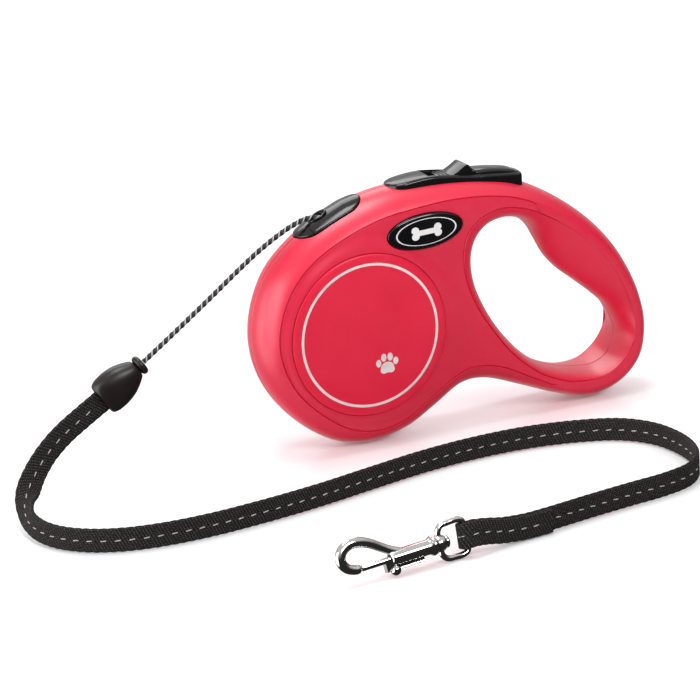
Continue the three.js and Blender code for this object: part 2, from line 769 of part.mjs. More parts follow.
// Mainspring: a strip wound in a spiral inside the drum's cup.
function mainspring() {
  const turns = 6.5;
  const perTurn = 14;
  const strip = 0.35;
  const count = Math.round(turns * perTurn);
  const inner = [];
  const outer = [];
  for (let i = 0; i <= count; i++) {
    const angle = (2 * Math.PI * i) / perTurn;
    const radius = 5.6 + (25.0 - 5.6) * (i / count);
    const at = (r) => [DRUM.x + r * Math.cos(angle), DRUM.z + r * Math.sin(angle)];
    inner.push(at(radius - strip));
    outer.push(at(radius));
  }
  return plate(polygon(inner.concat(outer.reverse())), 6.5, 10.9);
}
piece("mainspring", mainspring(), 0x8a8f96, 0.3, 1);

// Lid of the spring cup.
const lid = [
  [HUB.bore, 11.4],
  [27.6, 11.4],
  [27.6, 12.1],
  [HUB.bore, 12.1],
  [HUB.bore, 11.4],
];
piece("spring_cover", turned(lid, DRUM.x, DRUM.z, 32), 0x2c2e33, 0.5);

// ---------------------------------------------------------------- cord, stopper and strap

piece("cord", bar(smoothCurve(CORD_ROUTE), roundSection(CORD_RADIUS, 8), 38), 0x1c1c1c, 0.8);

// A group in the hook's own frame: X along S, Z along V.
const hook = new THREE.Group();
hook.position.set(HOOK.x, HOOK.y, HOOK.z);
hook.rotation.set(0, THREE.MathUtils.degToRad(-HOOK.pitch), THREE.MathUtils.degToRad(180 + HOOK.yaw), "ZYX");
hook.updateMatrix();
parts.add(hook);
// The hook itself has swivelled a little inside its ring.
const rolledHook = new THREE.Group();
rolledHook.rotation.x = THREE.MathUtils.degToRad(HOOK.roll);
hook.add(rolledHook);

// A frame whose X axis runs along the stopper, from the cord to the strap.
function stopperPlace(manifold) {
  const pitch = THREE.MathUtils.degToRad(STOPPER.pitch);
  const matrix = new THREE.Matrix4().makeRotationY(pitch);
  matrix.premultiply(new THREE.Matrix4().makeRotationZ(Math.PI));
  matrix.setPosition(STOPPER.x, STOPPER.y, STOPPER.z);
  return manifold.transform(matrix.elements);
}

// Elliptical rings along X: rows are [x, half-height, half-width].
function ovalBody(rows, sides) {
  const vertices = rows.flatMap(([x, high, wide]) =>
    Array.from({ length: sides }, (_, i) => {
      const angle = (2 * Math.PI * i) / sides;
      return [x, wide * Math.cos(angle), high * Math.sin(angle)];
    }),
  );
  const faces = [];
  for (let r = 0; r + 1 < rows.length; r++)
    for (let i = 0; i < sides; i++) {
      const j = (i + 1) % sides;
      const [a, b, c, d] = [r * sides + i, r * sides + j, (r + 1) * sides + j, (r + 1) * sides + i];
      faces.push([a, b, c], [a, c, d]);
    }
  const start = vertices.push([rows[0][0], 0, 0]) - 1;
  const end = vertices.push([rows.at(-1)[0], 0, 0]) - 1;
  const last = (rows.length - 1) * sides;
  for (let i = 0; i < sides; i++) {
    const j = (i + 1) % sides;
    faces.push([start, j, i], [end, last + i, last + j]);
  }
  return solid(closedGeometry(vertices, faces));
}

const collar = ovalBody(
  [
    [0, 3.1, 3.1],
    [0.5, 3.8, 3.8],
    [2.4, 3.8, 3.8],
    [STOPPER.collar - GAP, 3.2, 3.2],
  ],
  24,
);
piece("stopper_collar", stopperPlace(collar), 0x1a1716, 0.4);

const stopper = ovalBody(
  [
    [STOPPER.collar, 3.2, 3.0],
    [4.4, 4.3, 3.7],
    [6.6, 5.5, 4.4],
    [9.2, 6.6, 4.9],
    [12.2, 7.3, 5.0],
    [15.2, 7.5, 4.9],
    [18.0, 7.2, 4.5],
    [STOPPER.length, 5.9, 3.5],
  ],
  28,
);
piece("stopper_body", stopperPlace(stopper), 0x1a1716, 0.38);

// A flat band along rows of [x, y, z, edge x, y, z]: the edge direction spans its width.
function ribbon(rows, width, thickness, steps) {
  const centre = smoothCurve(rows.map((r) => r.slice(0, 3)));
  const vertices = [];
  const faces = [];
  for (let i = 0; i <= steps; i++) {
    const t = i / steps;
    const point = centre.getPoint(t);
    const along = centre.getTangent(t);
    const at = t * (rows.length - 1);
    const row = Math.min(Math.floor(at), rows.length - 2);
    const from = new THREE.Vector3(...rows[row].slice(3)).normalize();
    const to = new THREE.Vector3(...rows[row + 1].slice(3)).normalize();
    const up = from.lerp(to, at - row);
    up.addScaledVector(along, -up.dot(along)).normalize();
    const across = new THREE.Vector3().crossVectors(along, up);
    for (const [u, v] of [[1, 1], [-1, 1], [-1, -1], [1, -1]]) {
      const corner = point.clone();
      corner.addScaledVector(up, (u * width) / 2).addScaledVector(across, (v * thickness) / 2);
      vertices.push(corner.toArray());
    }
    if (i === 0) continue;
    const [a, b] = [4 * (i - 1), 4 * i];
    for (let k = 0; k < 4; k++) {
      const n = (k + 1) % 4;
      faces.push([a + k, a + n, b + n], [a + k, b + n, b + k]);
    }
  }
  const last = 4 * steps;
  faces.push([2, 1, 0], [3, 2, 0], [last, last + 1, last + 2], [last, last + 2, last + 3]);
  return closedGeometry(vertices, faces);
}

// The strap's rows with the fold round the ring's bar added, leaning as the ring leans.
function strapRows() {
  const bar = new THREE.Vector3(RING.barS, 0, 0).applyMatrix4(hook.matrix);
  const heading = THREE.MathUtils.degToRad(FOLD_PLACE.heading);
  const rows = FOLD.map(([along, aside]) => {
    const share = THREE.MathUtils.smoothstep(along, 2, FOLD_PLACE.rise + 10);
    const lean = THREE.MathUtils.degToRad(RING.tilt) * (1 - share);
    const level = bar.z + (FOLD_PLACE.low - bar.z) * share - aside * Math.sin(lean);
    const side = aside * Math.cos(lean);
    return [
      bar.x + along * Math.cos(heading) - side * Math.sin(heading),
      bar.y + along * Math.sin(heading) + side * Math.cos(heading),
      level,
      0,
      Math.sin(lean),
      Math.cos(lean),
    ];
  });
  return [...STRAP_ROUTE, ...rows];
}
piece("strap", ribbon(strapRows(), STRAP.width, STRAP.thickness, 112), 0x141416, 0.85);

// ---------------------------------------------------------------- snap hook

// A cylinder along X.
function barX(radius, low, high, v = 0, sides = 24) {
  const geometry = new THREE.CylinderGeometry(radius, radius, high - low, sides);
  return solid(geometry.rotateZ(Math.PI / 2).translate((low + high) / 2, 0, v));
}

function hookBody() {
  const profile = [
    [0, -5.4],
    [1.6, -5.4],
    [2.3, -4.8],
    [2.3, -3.9],
    [1.25, -3.7],
    [1.25, 0],
    [3.1, 0],
    [3.5, 0.5],
    [3.5, 1.3],
    [2.9, 1.9],
    [BARREL.radius, 3],
    [BARREL.radius, BARREL.length - 0.4],
    [BARREL.radius - 0.4, BARREL.length],
    [0, BARREL.length],
  ];
  const points = profile.map(([r, s]) => new THREE.Vector2(r, s));
  const barrel = outward(new THREE.LatheGeometry(points, 18).rotateZ(-Math.PI / 2));
  const spine = smoothCurve([
    [13.5, 0, 1.5],
    [16.5, 0, 2.9],
    [19.8, 0, 4.9],
    [23.4, 0, 7.2],
    [27.4, 0, 8.8],
    [31.4, 0, 8.9],
    [34.4, 0, 7.1],
    [35.4, 0, 4.3],
    [34.0, 0, 1.6],
    [31.4, 0, 0.3],
    [29.1, 0, 0],
  ]);
  const claw = bar(spine, roundSection(1.6, 10), 22);
  const bore = barX(BARREL.bore, BARREL.boreStart, BARREL.length + 4, 0, 16);
  const slot = box([5.4, -1.1, -4], [BARREL.length + 2, 1.1, 0]);
  const freeBolt = barX(BOLT.radius + GAP, BARREL.length - 0.5, BOLT.nose + GAP, 0, 16);
  return barrel.add(claw).subtract(bore).subtract(slot).subtract(freeBolt);
}
piece("hook_body", largest(hookBody()), STEEL, 0.12, 1, rolledHook);

function hookBolt() {
  const pin = barX(BOLT.radius, BOLT.tail, BOLT.nose, 0, 16);
  const stemGeometry = new THREE.CylinderGeometry(0.75, 0.75, -BOLT.ballV, 12);
  const stem = solid(stemGeometry.rotateX(Math.PI / 2).translate(BOLT.ballS, 0, BOLT.ballV / 2));
  const ball = outward(new THREE.SphereGeometry(BOLT.ball, 16, 10).translate(BOLT.ballS, 0, BOLT.ballV));
  return pin.add(stem).add(ball);
}
piece("hook_bolt", hookBolt(), STEEL, 0.12, 1, rolledHook);

const boltSpring = helix(1.1, 0.2, BARREL.boreStart + GAP, BOLT.tail - GAP, 6, 8, 5);
const alongBarrel = new THREE.Matrix4().makeRotationY(Math.PI / 2);
piece("bolt_spring", boltSpring.transform(alongBarrel.elements), STEEL, 0.3, 1, rolledHook);

// The D-ring: a bored base on the stem, two limbs and the bar inside the strap's fold.
function swivelEye() {
  const limb = (sign) =>
    smoothCurve([
      [-1.9, 0, sign * 0.6],
      [-2.1, 0, sign * 4.0],
      [-3.6, 0, sign * 5.7],
      [-6.6, 0, sign * 6.1],
      [-10.2, 0, sign * 6.1],
      [-12.0, 0, sign * 5.3],
      [RING.barS, 0, sign * 3.4],
      [RING.barS, 0, sign * -0.4],
    ]);
  const section = roundSection(RING.wire, 8);
  const base = barX(2.9, -3.4, -GAP, 0, 20);
  const ring = base.add(bar(limb(1), section, 13)).add(bar(limb(-1), section, 13));
  const turned = ring.rotate([RING.tilt, 0, 0]);
  return turned.subtract(barX(1.25 + GAP, -8, 2, 0, 16));
}
piece("swivel_eye", swivelEye(), STEEL, 0.12, 1, hook);

export default parts;
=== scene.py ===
import json
import math

import bmesh
import bpy
import numpy as np
from mathutils import Matrix, Vector
from mathutils.geometry import tessellate_polygon

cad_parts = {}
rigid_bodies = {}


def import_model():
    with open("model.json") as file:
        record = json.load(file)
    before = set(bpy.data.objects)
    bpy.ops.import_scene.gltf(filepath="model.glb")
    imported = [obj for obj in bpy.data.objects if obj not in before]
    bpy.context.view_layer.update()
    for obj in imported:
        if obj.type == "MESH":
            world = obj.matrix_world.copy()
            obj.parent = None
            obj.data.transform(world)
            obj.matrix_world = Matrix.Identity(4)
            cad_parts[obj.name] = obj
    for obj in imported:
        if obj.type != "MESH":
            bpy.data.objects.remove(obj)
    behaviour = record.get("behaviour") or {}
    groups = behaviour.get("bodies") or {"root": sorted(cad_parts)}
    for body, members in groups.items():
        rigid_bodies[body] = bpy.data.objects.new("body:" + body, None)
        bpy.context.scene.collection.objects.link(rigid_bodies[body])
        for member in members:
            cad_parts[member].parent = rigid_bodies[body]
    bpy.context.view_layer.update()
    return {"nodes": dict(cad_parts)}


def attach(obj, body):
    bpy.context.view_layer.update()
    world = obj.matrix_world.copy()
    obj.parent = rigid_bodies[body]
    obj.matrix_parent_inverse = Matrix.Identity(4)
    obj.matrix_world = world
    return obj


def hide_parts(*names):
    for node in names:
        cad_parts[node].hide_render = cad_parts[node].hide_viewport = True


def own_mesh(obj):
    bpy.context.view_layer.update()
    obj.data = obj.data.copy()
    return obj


for left_over in list(bpy.data.objects):
    bpy.data.objects.remove(left_over)
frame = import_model()

MM = 0.001
DRUM = (-39.2, 45.4)  # the drum's centre, x and z
FACE_Y = 13.0  # height of the side faces from the parting line
CROWN_RADIUS = 15.0  # the rim's roundness across its thickness

# ------------------------------------------------------------------ camera, lights, floor
scene = bpy.context.scene
scene.view_settings.view_transform = "Standard"


def make_camera():
    """Seen from the front left, 18 degrees above the floor, a little rolled."""
    back = Vector((-0.3638, -0.8805, 0.3040)).normalized()
    level = Vector((0, 0, 1)).cross(back).normalized()
    lift = back.cross(level)
    roll = math.radians(4.0)
    right = level * math.cos(roll) - lift * math.sin(roll)
    up = level * math.sin(roll) + lift * math.cos(roll)
    data = bpy.data.cameras.new("camera")
    data.lens = 157.3
    data.sensor_width = 36.0
    data.clip_end = 20.0
    camera = bpy.data.objects.new("camera", data)
    scene.collection.objects.link(camera)
    place = Matrix((right, up, back)).transposed().to_4x4()
    place.translation = Vector((-460.0, -1012.5, 385.8)) * MM
    camera.matrix_world = place
    scene.camera = camera


def area_light(name, place, aim, size, watts):
    data = bpy.data.lights.new(name, "AREA")
    data.shape = "RECTANGLE"
    data.size, data.size_y = size
    data.energy = watts
    light = bpy.data.objects.new(name, data)
    scene.collection.objects.link(light)
    light.location = place
    light.rotation_euler = (Vector(aim) - Vector(place)).to_track_quat("-Z", "Y").to_euler()


def make_world():
    """White for the camera. Bright above, behind and to the left of the object, dark elsewhere."""
    world = bpy.data.worlds.new("studio")
    world.use_nodes = True
    tree = world.node_tree
    tree.nodes.clear()
    new, link = tree.nodes.new, tree.links.new
    out, mix, path = new("ShaderNodeOutputWorld"), new("ShaderNodeMixShader"), new("ShaderNodeLightPath")
    seen, lit = new("ShaderNodeBackground"), new("ShaderNodeBackground")
    coord, split = new("ShaderNodeTexCoord"), new("ShaderNodeSeparateXYZ")
    seen.inputs["Color"].default_value = (1, 1, 1, 1)
    link(coord.outputs["Generated"], split.inputs[0])
    brightest = None
    for axis, low, high, dim, bright in (
        ("Z", 0.25, 0.75, 0.03, 0.8),
        ("Y", 0.3, 0.85, 0.03, 0.75),
        ("X", -0.72, -0.93, 0.03, 4.2),
    ):
        share = new("ShaderNodeMapRange")
        share.interpolation_type = "SMOOTHSTEP"
        link(split.outputs[axis], share.inputs["Value"])
        for i, value in enumerate((low, high, dim, bright)):
            share.inputs[i + 1].default_value = value
        if brightest is None:
            brightest = share.outputs["Result"]
            continue
        more = new("ShaderNodeMath")
        more.operation = "MAXIMUM"
        link(brightest, more.inputs[0])
        link(share.outputs["Result"], more.inputs[1])
        brightest = more.outputs[0]
    link(brightest, lit.inputs["Strength"])
    link(path.outputs["Is Camera Ray"], mix.inputs[0])
    link(lit.outputs[0], mix.inputs[1])
    link(seen.outputs[0], mix.inputs[2])
    link(mix.outputs[0], out.inputs["Surface"])
    scene.world = world


make_camera()
make_world()
area_light("key_left", (-1.0, -0.35, 0.55), (-0.03, 0, 0.05), (0.5, 0.5), 1.6)
area_light("top", (-0.1, 0.05, 1.2), (0, 0, 0.05), (0.6, 0.45), 6.4)
area_light("front", (0.3, -1.3, 0.95), (0, 0, 0.04), (0.8, 0.4), 11.0)
area_light("back", (0.2, 1.1, 0.9), (0, 0, 0.03), (1.0, 0.6), 4.5)


# ------------------------------------------------------------------ node helpers
class Nodes:
    """Short-hand for building one material's node tree."""

    def __init__(self, name):
        self.material = bpy.data.materials.new(name)
        self.material.use_nodes = True
        self.tree = self.material.node_tree
        self.bsdf = self.tree.nodes["Principled BSDF"]

    def put(self, socket, value):
        if isinstance(value, bpy.types.NodeSocket):
            self.tree.links.new(value, socket)
        elif value is not None:
            socket.default_value = value

    def math(self, operation, a, b=None, c=None):
        node = self.tree.nodes.new("ShaderNodeMath")
        node.operation = operation
        for socket, value in zip(node.inputs, (a, b, c)):
            self.put(socket, value)
        return node.outputs[0]

    def noise(self, vector, scale, detail=3.0, rough=0.5):
        node = self.tree.nodes.new("ShaderNodeTexNoise")
        self.put(node.inputs["Vector"], vector)
        node.inputs["Scale"].default_value = scale
        node.inputs["Detail"].default_value = detail
        node.inputs["Roughness"].default_value = rough
        return node.outputs["Fac"]

    def ramp(self, value, *stops):
        node = self.tree.nodes.new("ShaderNodeValToRGB")
        elements = node.color_ramp.elements
        while len(elements) < len(stops):
            elements.new(0.5)
        for element, (position, colour) in zip(elements, stops):
            element.position = position
            element.color = (*colour, 1)
        self.put(node.inputs["Fac"], value)
        return node.outputs["Color"]

    def mix(self, share, a, b):
        node = self.tree.nodes.new("ShaderNodeMix")
        node.data_type = "RGBA"
        self.put(node.inputs["Factor"], share)
        self.put(node.inputs["A"], a)
        self.put(node.inputs["B"], b)
        return node.outputs["Result"]

    def range(self, value, low, high, new_low, new_high):
        node = self.tree.nodes.new("ShaderNodeMapRange")
        self.put(node.inputs["Value"], value)
        for i, v in enumerate((low, high, new_low, new_high)):
            node.inputs[i + 1].default_value = v
        return node.outputs["Result"]

    def object_coords(self):
        return self.tree.nodes.new("ShaderNodeTexCoord").outputs["Object"]

    def split(self, vector):
        node = self.tree.nodes.new("ShaderNodeSeparateXYZ")
        self.put(node.inputs[0], vector)
        return node.outputs["X"], node.outputs["Y"], node.outputs["Z"]

    def uv(self):
        both = self.tree.nodes.new("ShaderNodeUVMap").outputs["UV"]
        return both, *self.split(both)[:2]

    def offset(self, coordinate, origin, scale=1 / MM):
        """A coordinate in metres as millimetres from an origin that is in millimetres."""
        return self.math("MULTIPLY", self.math("SUBTRACT", coordinate, origin * MM), scale)

    def oval(self, x, z, cx, cz, rx, rz):
        """Distance from an oval's centre: 1 on its line."""
        dx = self.math("DIVIDE", self.math("SUBTRACT", x, cx), rx)
        dz = self.math("DIVIDE", self.math("SUBTRACT", z, cz), rz)
        squares = self.math("ADD", self.math("MULTIPLY", dx, dx), self.math("MULTIPLY", dz, dz))
        return self.math("SQRT", squares)

    def with_spot(self, share, x, z, *oval):
        """The printed share with one filled oval added."""
        return self.math("MAXIMUM", share, self.range(self.oval(x, z, *oval), 0.95, 1.03, 1.0, 0.0))

    def bump(self, height, strength, distance, under=None):
        node = self.tree.nodes.new("ShaderNodeBump")
        node.inputs["Strength"].default_value = strength
        node.inputs["Distance"].default_value = distance
        self.put(node.inputs["Height"], height)
        self.put(node.inputs["Normal"], under)
        return node.outputs["Normal"]

    def finish(self, colour, roughness, normal=None, **constants):
        self.put(self.bsdf.inputs["Base Color"], colour)
        self.put(self.bsdf.inputs["Roughness"], roughness)
        self.put(self.bsdf.inputs["Normal"], normal)
        for name, value in constants.items():
            self.bsdf.inputs[name.replace("_", " ")].default_value = value
        return self.material


# ------------------------------------------------------------------ materials
def moulded(name, dark, light, rough, grain=0.25, wear=0.0, **constants):
    """Moulded plastic: faint flow marks in the colour, a fine grain and edges rubbed paler."""
    n = Nodes(name)
    where = n.object_coords()
    flow = n.noise(where, 38.0, 4.0, 0.55)
    colour = n.ramp(flow, (0.3, dark), (0.7, light))
    if wear:
        edge = n.tree.nodes.new("ShaderNodeNewGeometry").outputs["Pointiness"]
        rub = n.range(edge, 0.5, 0.62, 0.0, wear)
        colour = n.mix(rub, colour, tuple(min(1.0, c * 1.6 + 0.02) for c in light) + (1,))
    smear = n.noise(where, 120.0, 3.0, 0.6)
    roughness = n.range(smear, 0.3, 0.7, rough - 0.05, rough + 0.06)
    fine = n.noise(where, 2600.0, 2.0, 0.5)
    normal = n.bump(fine, grain, 0.00004)
    return n.finish(colour, roughness, normal, **constants)


def metal(name, dark, light, rough, scratches=0.15):
    """Plated or turned metal: cloudy roughness and a slightly uneven cast surface."""
    n = Nodes(name)
    where = n.object_coords()
    cloud = n.noise(where, 160.0, 4.0, 0.6)
    colour = n.ramp(cloud, (0.3, dark), (0.7, light))
    roughness = n.range(cloud, 0.3, 0.7, rough * 0.7, rough * 1.5)
    uneven = n.noise(where, 420.0, 2.0, 0.5)
    normal = n.bump(uneven, scratches, 0.00006)
    return n.finish(colour, roughness, normal, Metallic=1.0)


RED_DARK, RED_LIGHT = (0.66, 0.007, 0.040), (0.72, 0.010, 0.050)
SHELL = moulded("shell_red", RED_DARK, RED_LIGHT, 0.38, 0.3, 0.08, Coat_Weight=0.5, Coat_Roughness=0.3)
BLACK_DARK, BLACK_LIGHT = (0.005, 0.005, 0.005), (0.008, 0.0075, 0.0075)
BLACK_GLOSS = moulded("black_semi_gloss", BLACK_DARK, BLACK_LIGHT, 0.14, 0.08, 0.12)
STOPPER_DARK, STOPPER_LIGHT = (0.009, 0.005, 0.005), (0.014, 0.009, 0.008)
STOPPER_LOOK = moulded("stopper_brown_black", STOPPER_DARK, STOPPER_LIGHT, 0.36, 0.25, 0.1)
CHROME = metal("hook_chrome", (0.72, 0.71, 0.70), (0.86, 0.85, 0.84), 0.09)
STEEL = metal("bright_steel", (0.42, 0.42, 0.43), (0.56, 0.56, 0.57), 0.28, 0.3)
SPRING = metal("spring_steel", (0.22, 0.22, 0.24), (0.34, 0.34, 0.36), 0.3, 0.3)
DRUM_GREY = moulded("drum_grey", (0.035, 0.036, 0.04), (0.05, 0.052, 0.056), 0.45, 0.3)
ACETAL = moulded("pawl_white", (0.62, 0.62, 0.59), (0.72, 0.72, 0.70), 0.42, 0.2)


def disc_material(side):
    """The side disc: red with a plain silver ring and a plain paw print in the same foil."""
    n = Nodes("disc_front_print" if side < 0 else "disc_rear_print")
    where = n.object_coords()
    raw_x, _, raw_z = n.split(where)
    x = n.offset(raw_x, DRUM[0], -side / MM)
    z = n.offset(raw_z, DRUM[1])
    ring_radius = 27.2
    ring = n.math("ABSOLUTE", n.math("SUBTRACT", n.oval(x, z, 0, 0, 1, 1), ring_radius))
    print_share = n.range(ring, 0.46, 0.54, 1.0, 0.0)
    paw_x, paw_z = 6.0, -12.6
    print_share = n.with_spot(print_share, x, z, paw_x, paw_z - 0.9, 2.7, 2.1)
    for dx, dz, rx, rz in ((1.4, -1.9, 1.5, 1.3), (3.5, 1.1, 1.05, 1.45), (1.3, 3.0, 1.1, 1.55)):
        for mirror in (-1, 1):
            print_share = n.with_spot(print_share, x, z, paw_x + mirror * dx, paw_z + dz, rx, rz)
    flow = n.noise(where, 38.0, 4.0, 0.55)
    red = n.ramp(flow, (0.3, (0.69, 0.006, 0.036)), (0.7, (0.75, 0.009, 0.046)))
    foil = n.ramp(n.noise(where, 300.0, 3.0, 0.6), (0.3, (0.62, 0.55, 0.54)), (0.7, (0.78, 0.72, 0.70)))
    colour = n.mix(print_share, red, foil)
    fine = n.noise(where, 2600.0, 2.0, 0.5)
    grain = n.bump(fine, 0.22, 0.00004)
    normal = n.bump(print_share, 0.4, 0.00003, grain)
    smear = n.noise(where, 120.0, 3.0, 0.6)
    return n.finish(colour, n.range(smear, 0.3, 0.7, 0.31, 0.4), normal)


def badge_material(side, cx, cz, tilt):
    """The badge: polished black with a thin silver oval line and a plain bone in white."""
    n = Nodes("badge_front_print" if side < 0 else "badge_rear_print")
    where = n.object_coords()
    raw_x, _, raw_z = n.split(where)
    level_x, level_z = n.offset(raw_x, cx), n.offset(raw_z, cz)
    c, s = math.cos(math.radians(tilt)), math.sin(math.radians(tilt))
    x = n.math("ADD", n.math("MULTIPLY", level_x, c), n.math("MULTIPLY", level_z, s))
    z = n.math("SUBTRACT", n.math("MULTIPLY", level_z, c), n.math("MULTIPLY", level_x, s))
    line = n.math("ABSOLUTE", n.math("SUBTRACT", n.oval(x, z, 0, 0, 12.1, 4.9), 1.0))
    share = n.range(line, 0.02, 0.03, 1.0, 0.0)
    bar_x = n.range(n.math("ABSOLUTE", x), 4.4, 4.5, 1.0, 0.0)
    bar_z = n.range(n.math("ABSOLUTE", z), 0.95, 1.05, 1.0, 0.0)
    share = n.math("MAXIMUM", share, n.math("MINIMUM", bar_x, bar_z))
    for end_x in (-4.6, 4.6):
        for end_z in (-1.15, 1.15):
            share = n.with_spot(share, x, z, end_x, end_z, 1.55, 1.4)
    cloud = n.noise(where, 60.0, 3.0, 0.5)
    black = n.ramp(cloud, (0.3, (0.004, 0.004, 0.005)), (0.7, (0.007, 0.007, 0.008)))
    white = n.ramp(n.noise(where, 300.0, 3.0, 0.6), (0.3, (0.70, 0.69, 0.68)), (0.7, (0.80, 0.79, 0.78)))
    colour = n.mix(share, black, white)
    normal = n.bump(share, 0.3, 0.00003)
    return n.finish(colour, n.range(cloud, 0.3, 0.7, 0.07, 0.13), normal, Specular_IOR_Level=0.5)


def webbing_material():
    """Narrow woven webbing. U runs along it and V across it, both in millimetres."""
    n = Nodes("strap_webbing")
    uv, u, v = n.uv()
    warp_pitch, weft_pitch = 0.62, 1.15
    warp = n.math("ABSOLUTE", n.math("SINE", n.math("MULTIPLY", v, math.pi / warp_pitch)))
    shift = n.math("MULTIPLY", n.math("FLOOR", n.math("DIVIDE", v, warp_pitch)), math.pi / 2)
    weft = n.math("SINE", n.math("ADD", n.math("MULTIPLY", u, 2 * math.pi / weft_pitch), shift))
    lift = n.math("ADD", n.math("MULTIPLY", weft, 0.5), n.math("MULTIPLY", warp, 0.8))
    fuzz = n.noise(uv, 6.0, 3.0, 0.6)
    speck = n.range(n.noise(uv, 1.9, 2.0, 0.7), 0.35, 0.68, 0.0, 1.0)
    # The colour follows the weave's height: the raised threads are painted lighter, a painted highlight on
    # the weave. The fuzz adds random tone, and the pale flecks are the yarn's own colour.
    height = n.math("ADD", n.math("MULTIPLY", lift, 0.3), n.math("MULTIPLY", fuzz, 0.25))
    colour = n.ramp(
        n.math("ADD", height, n.math("MULTIPLY", speck, 0.42)),
        (0.15, (0.003, 0.0016, 0.002)),
        (0.5, (0.010, 0.007, 0.0074)),
        (0.9, (0.13, 0.105, 0.102)),
    )
    hair = n.noise(uv, 22.0, 2.0, 0.6)
    normal = n.bump(hair, 0.5, 0.00015, n.bump(lift, 1.0, 0.0004))
    return n.finish(colour, n.range(fuzz, 0.3, 0.7, 0.6, 0.85), normal, Specular_IOR_Level=0.3)


def cord_material():
    """Braided cord. U is the number of twists along it, V once round it."""
    n = Nodes("braided_cord")
    uv, u, v = n.uv()
    along = n.math("MULTIPLY", u, 2 * math.pi)
    round_it = n.math("MULTIPLY", v, 2 * math.pi)
    strand = n.math("SINE", n.math("ADD", n.math("MULTIPLY", round_it, 2.0), along))
    white = n.range(strand, 0.7, 0.86, 0.0, 1.0)
    fibre = n.noise(uv, 40.0, 3.0, 0.6)
    pale = n.ramp(fibre, (0.3, (0.36, 0.36, 0.37)), (0.7, (0.60, 0.60, 0.61)))
    dark = n.ramp(fibre, (0.3, (0.006, 0.006, 0.006)), (0.7, (0.018, 0.017, 0.018)))
    normal = n.bump(fibre, 0.4, 0.00012, n.bump(strand, 0.7, 0.0002))
    return n.finish(n.mix(white, dark, pale), 0.6, normal, Sheen_Weight=0.1)


def thread_material():
    """Pale reflective stitching thread, with a faint twist."""
    n = Nodes("stitch_thread")
    where = n.object_coords()
    twist = n.noise(where, 1800.0, 2.0, 0.5)
    colour = n.ramp(twist, (0.3, (0.30, 0.28, 0.28)), (0.7, (0.50, 0.48, 0.47)))
    return n.finish(colour, 0.45, n.bump(twist, 0.4, 0.00005), Sheen_Weight=0.2)


def floor_material():
    n = Nodes("floor_white")
    where = n.object_coords()
    soft = n.noise(where, 3.0, 2.0, 0.5)
    colour = n.ramp(soft, (0.2, (0.86, 0.87, 0.885)), (0.8, (0.90, 0.905, 0.915)))
    return n.finish(colour, 0.16, None, Emission_Color=(1, 1, 1, 1), Emission_Strength=0.12)


def make_floor():
    """A wide floor a hair below the object."""
    mesh = bpy.data.meshes.new("floor")
    size = 9.0
    corners = [(-size, -size, 0), (size, -size, 0), (size, size, 0), (-size, size, 0)]
    mesh.from_pydata(corners, [], [(0, 1, 2, 3)])
    floor = bpy.data.objects.new("floor", mesh)
    scene.collection.objects.link(floor)
    floor.location.z = -0.0001
    floor.visible_glossy = False
    mesh.materials.append(floor_material())


make_floor()


# ------------------------------------------------------------------ mesh helpers, millimetres
# A "part" below is a pair of lists: vertices, and the faces between them.
def solid(part, name="solid", uvs=None):
    """An undressed object from a part. uvs is a pair for each vertex."""
    vertices, faces = part
    mesh = bpy.data.meshes.new(name)
    mesh.from_pydata([tuple(c * MM for c in v) for v in vertices], [], faces)
    mesh.validate()
    if uvs is not None:
        layer = mesh.uv_layers.new(name="UVMap")
        for loop in mesh.loops:
            layer.data[loop.index].uv = uvs[loop.vertex_index]
    bm = bmesh.new()
    bm.from_mesh(mesh)
    bmesh.ops.recalc_face_normals(bm, faces=bm.faces)
    bm.to_mesh(mesh)
    bm.free()
    obj = bpy.data.objects.new(name, mesh)
    scene.collection.objects.link(obj)
    return obj


def finished(obj, name, material, body, angle, slot, *replaces):
    """Names a solid, gives it its material and smooth shading, and ties it to the frame."""
    obj.name = name
    mesh = obj.data
    mesh.name = name
    mesh.materials.clear()
    mesh.materials.append(material)
    mesh.shade_smooth()
    mesh.set_sharp_from_angle(angle=math.radians(angle))
    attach(obj, body)
    if replaces:
        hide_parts(*replaces)
    return obj


def keep_modified(obj):
    """Puts what the modifiers make into the object's own mesh."""
    bpy.context.view_layer.update()
    graph = bpy.context.evaluated_depsgraph_get()
    old = obj.data
    mesh = bpy.data.meshes.new_from_object(obj.evaluated_get(graph))
    obj.modifiers.clear()
    obj.data = mesh
    bpy.data.meshes.remove(old)


def combine(obj, part, operation):
    other = solid(part)
    modifier = obj.modifiers.new("cut", "BOOLEAN")
    modifier.operation = operation
    modifier.solver = "EXACT"
    modifier.object = other
    keep_modified(obj)
    bpy.data.objects.remove(other)


def cut(obj, part):
    combine(obj, part, "DIFFERENCE")


def join(obj, part):
    combine(obj, part, "UNION")


def circle(sides, start=0.0):
    """Cosine and sine at even steps round a circle."""
    return [(math.cos(a), math.sin(a)) for a in (2 * math.pi * (k + start) / sides for k in range(sides))]


def skin(rings, capped=True, closed=False):
    """A part through rings of equal length. closed joins the last ring to the first."""
    count = len(rings[0])
    vertices = [tuple(p) for ring in rings for p in ring]
    faces = []
    pairs = [(r, r + 1) for r in range(len(rings) - 1)]
    if closed:
        pairs.append((len(rings) - 1, 0))
    for a, b in pairs:
        for i in range(count):
            j = (i + 1) % count
            faces.append((a * count + i, a * count + j, b * count + j, b * count + i))
    if capped and not closed:
        faces.append(tuple(reversed(range(count))))
        start = (len(rings) - 1) * count
        faces.append(tuple(range(start, start + count)))
    return vertices, faces


def lathe(profile, cx, cz, sides=96):
    """Rows of (radius, y) turned about an axis along Y. A radius of 0 is a tiny flat."""
    rows = [(max(radius, 0.02), y) for radius, y in profile]
    return skin([[(cx + r * c, y, cz + r * s) for c, s in circle(sides)] for r, y in rows])


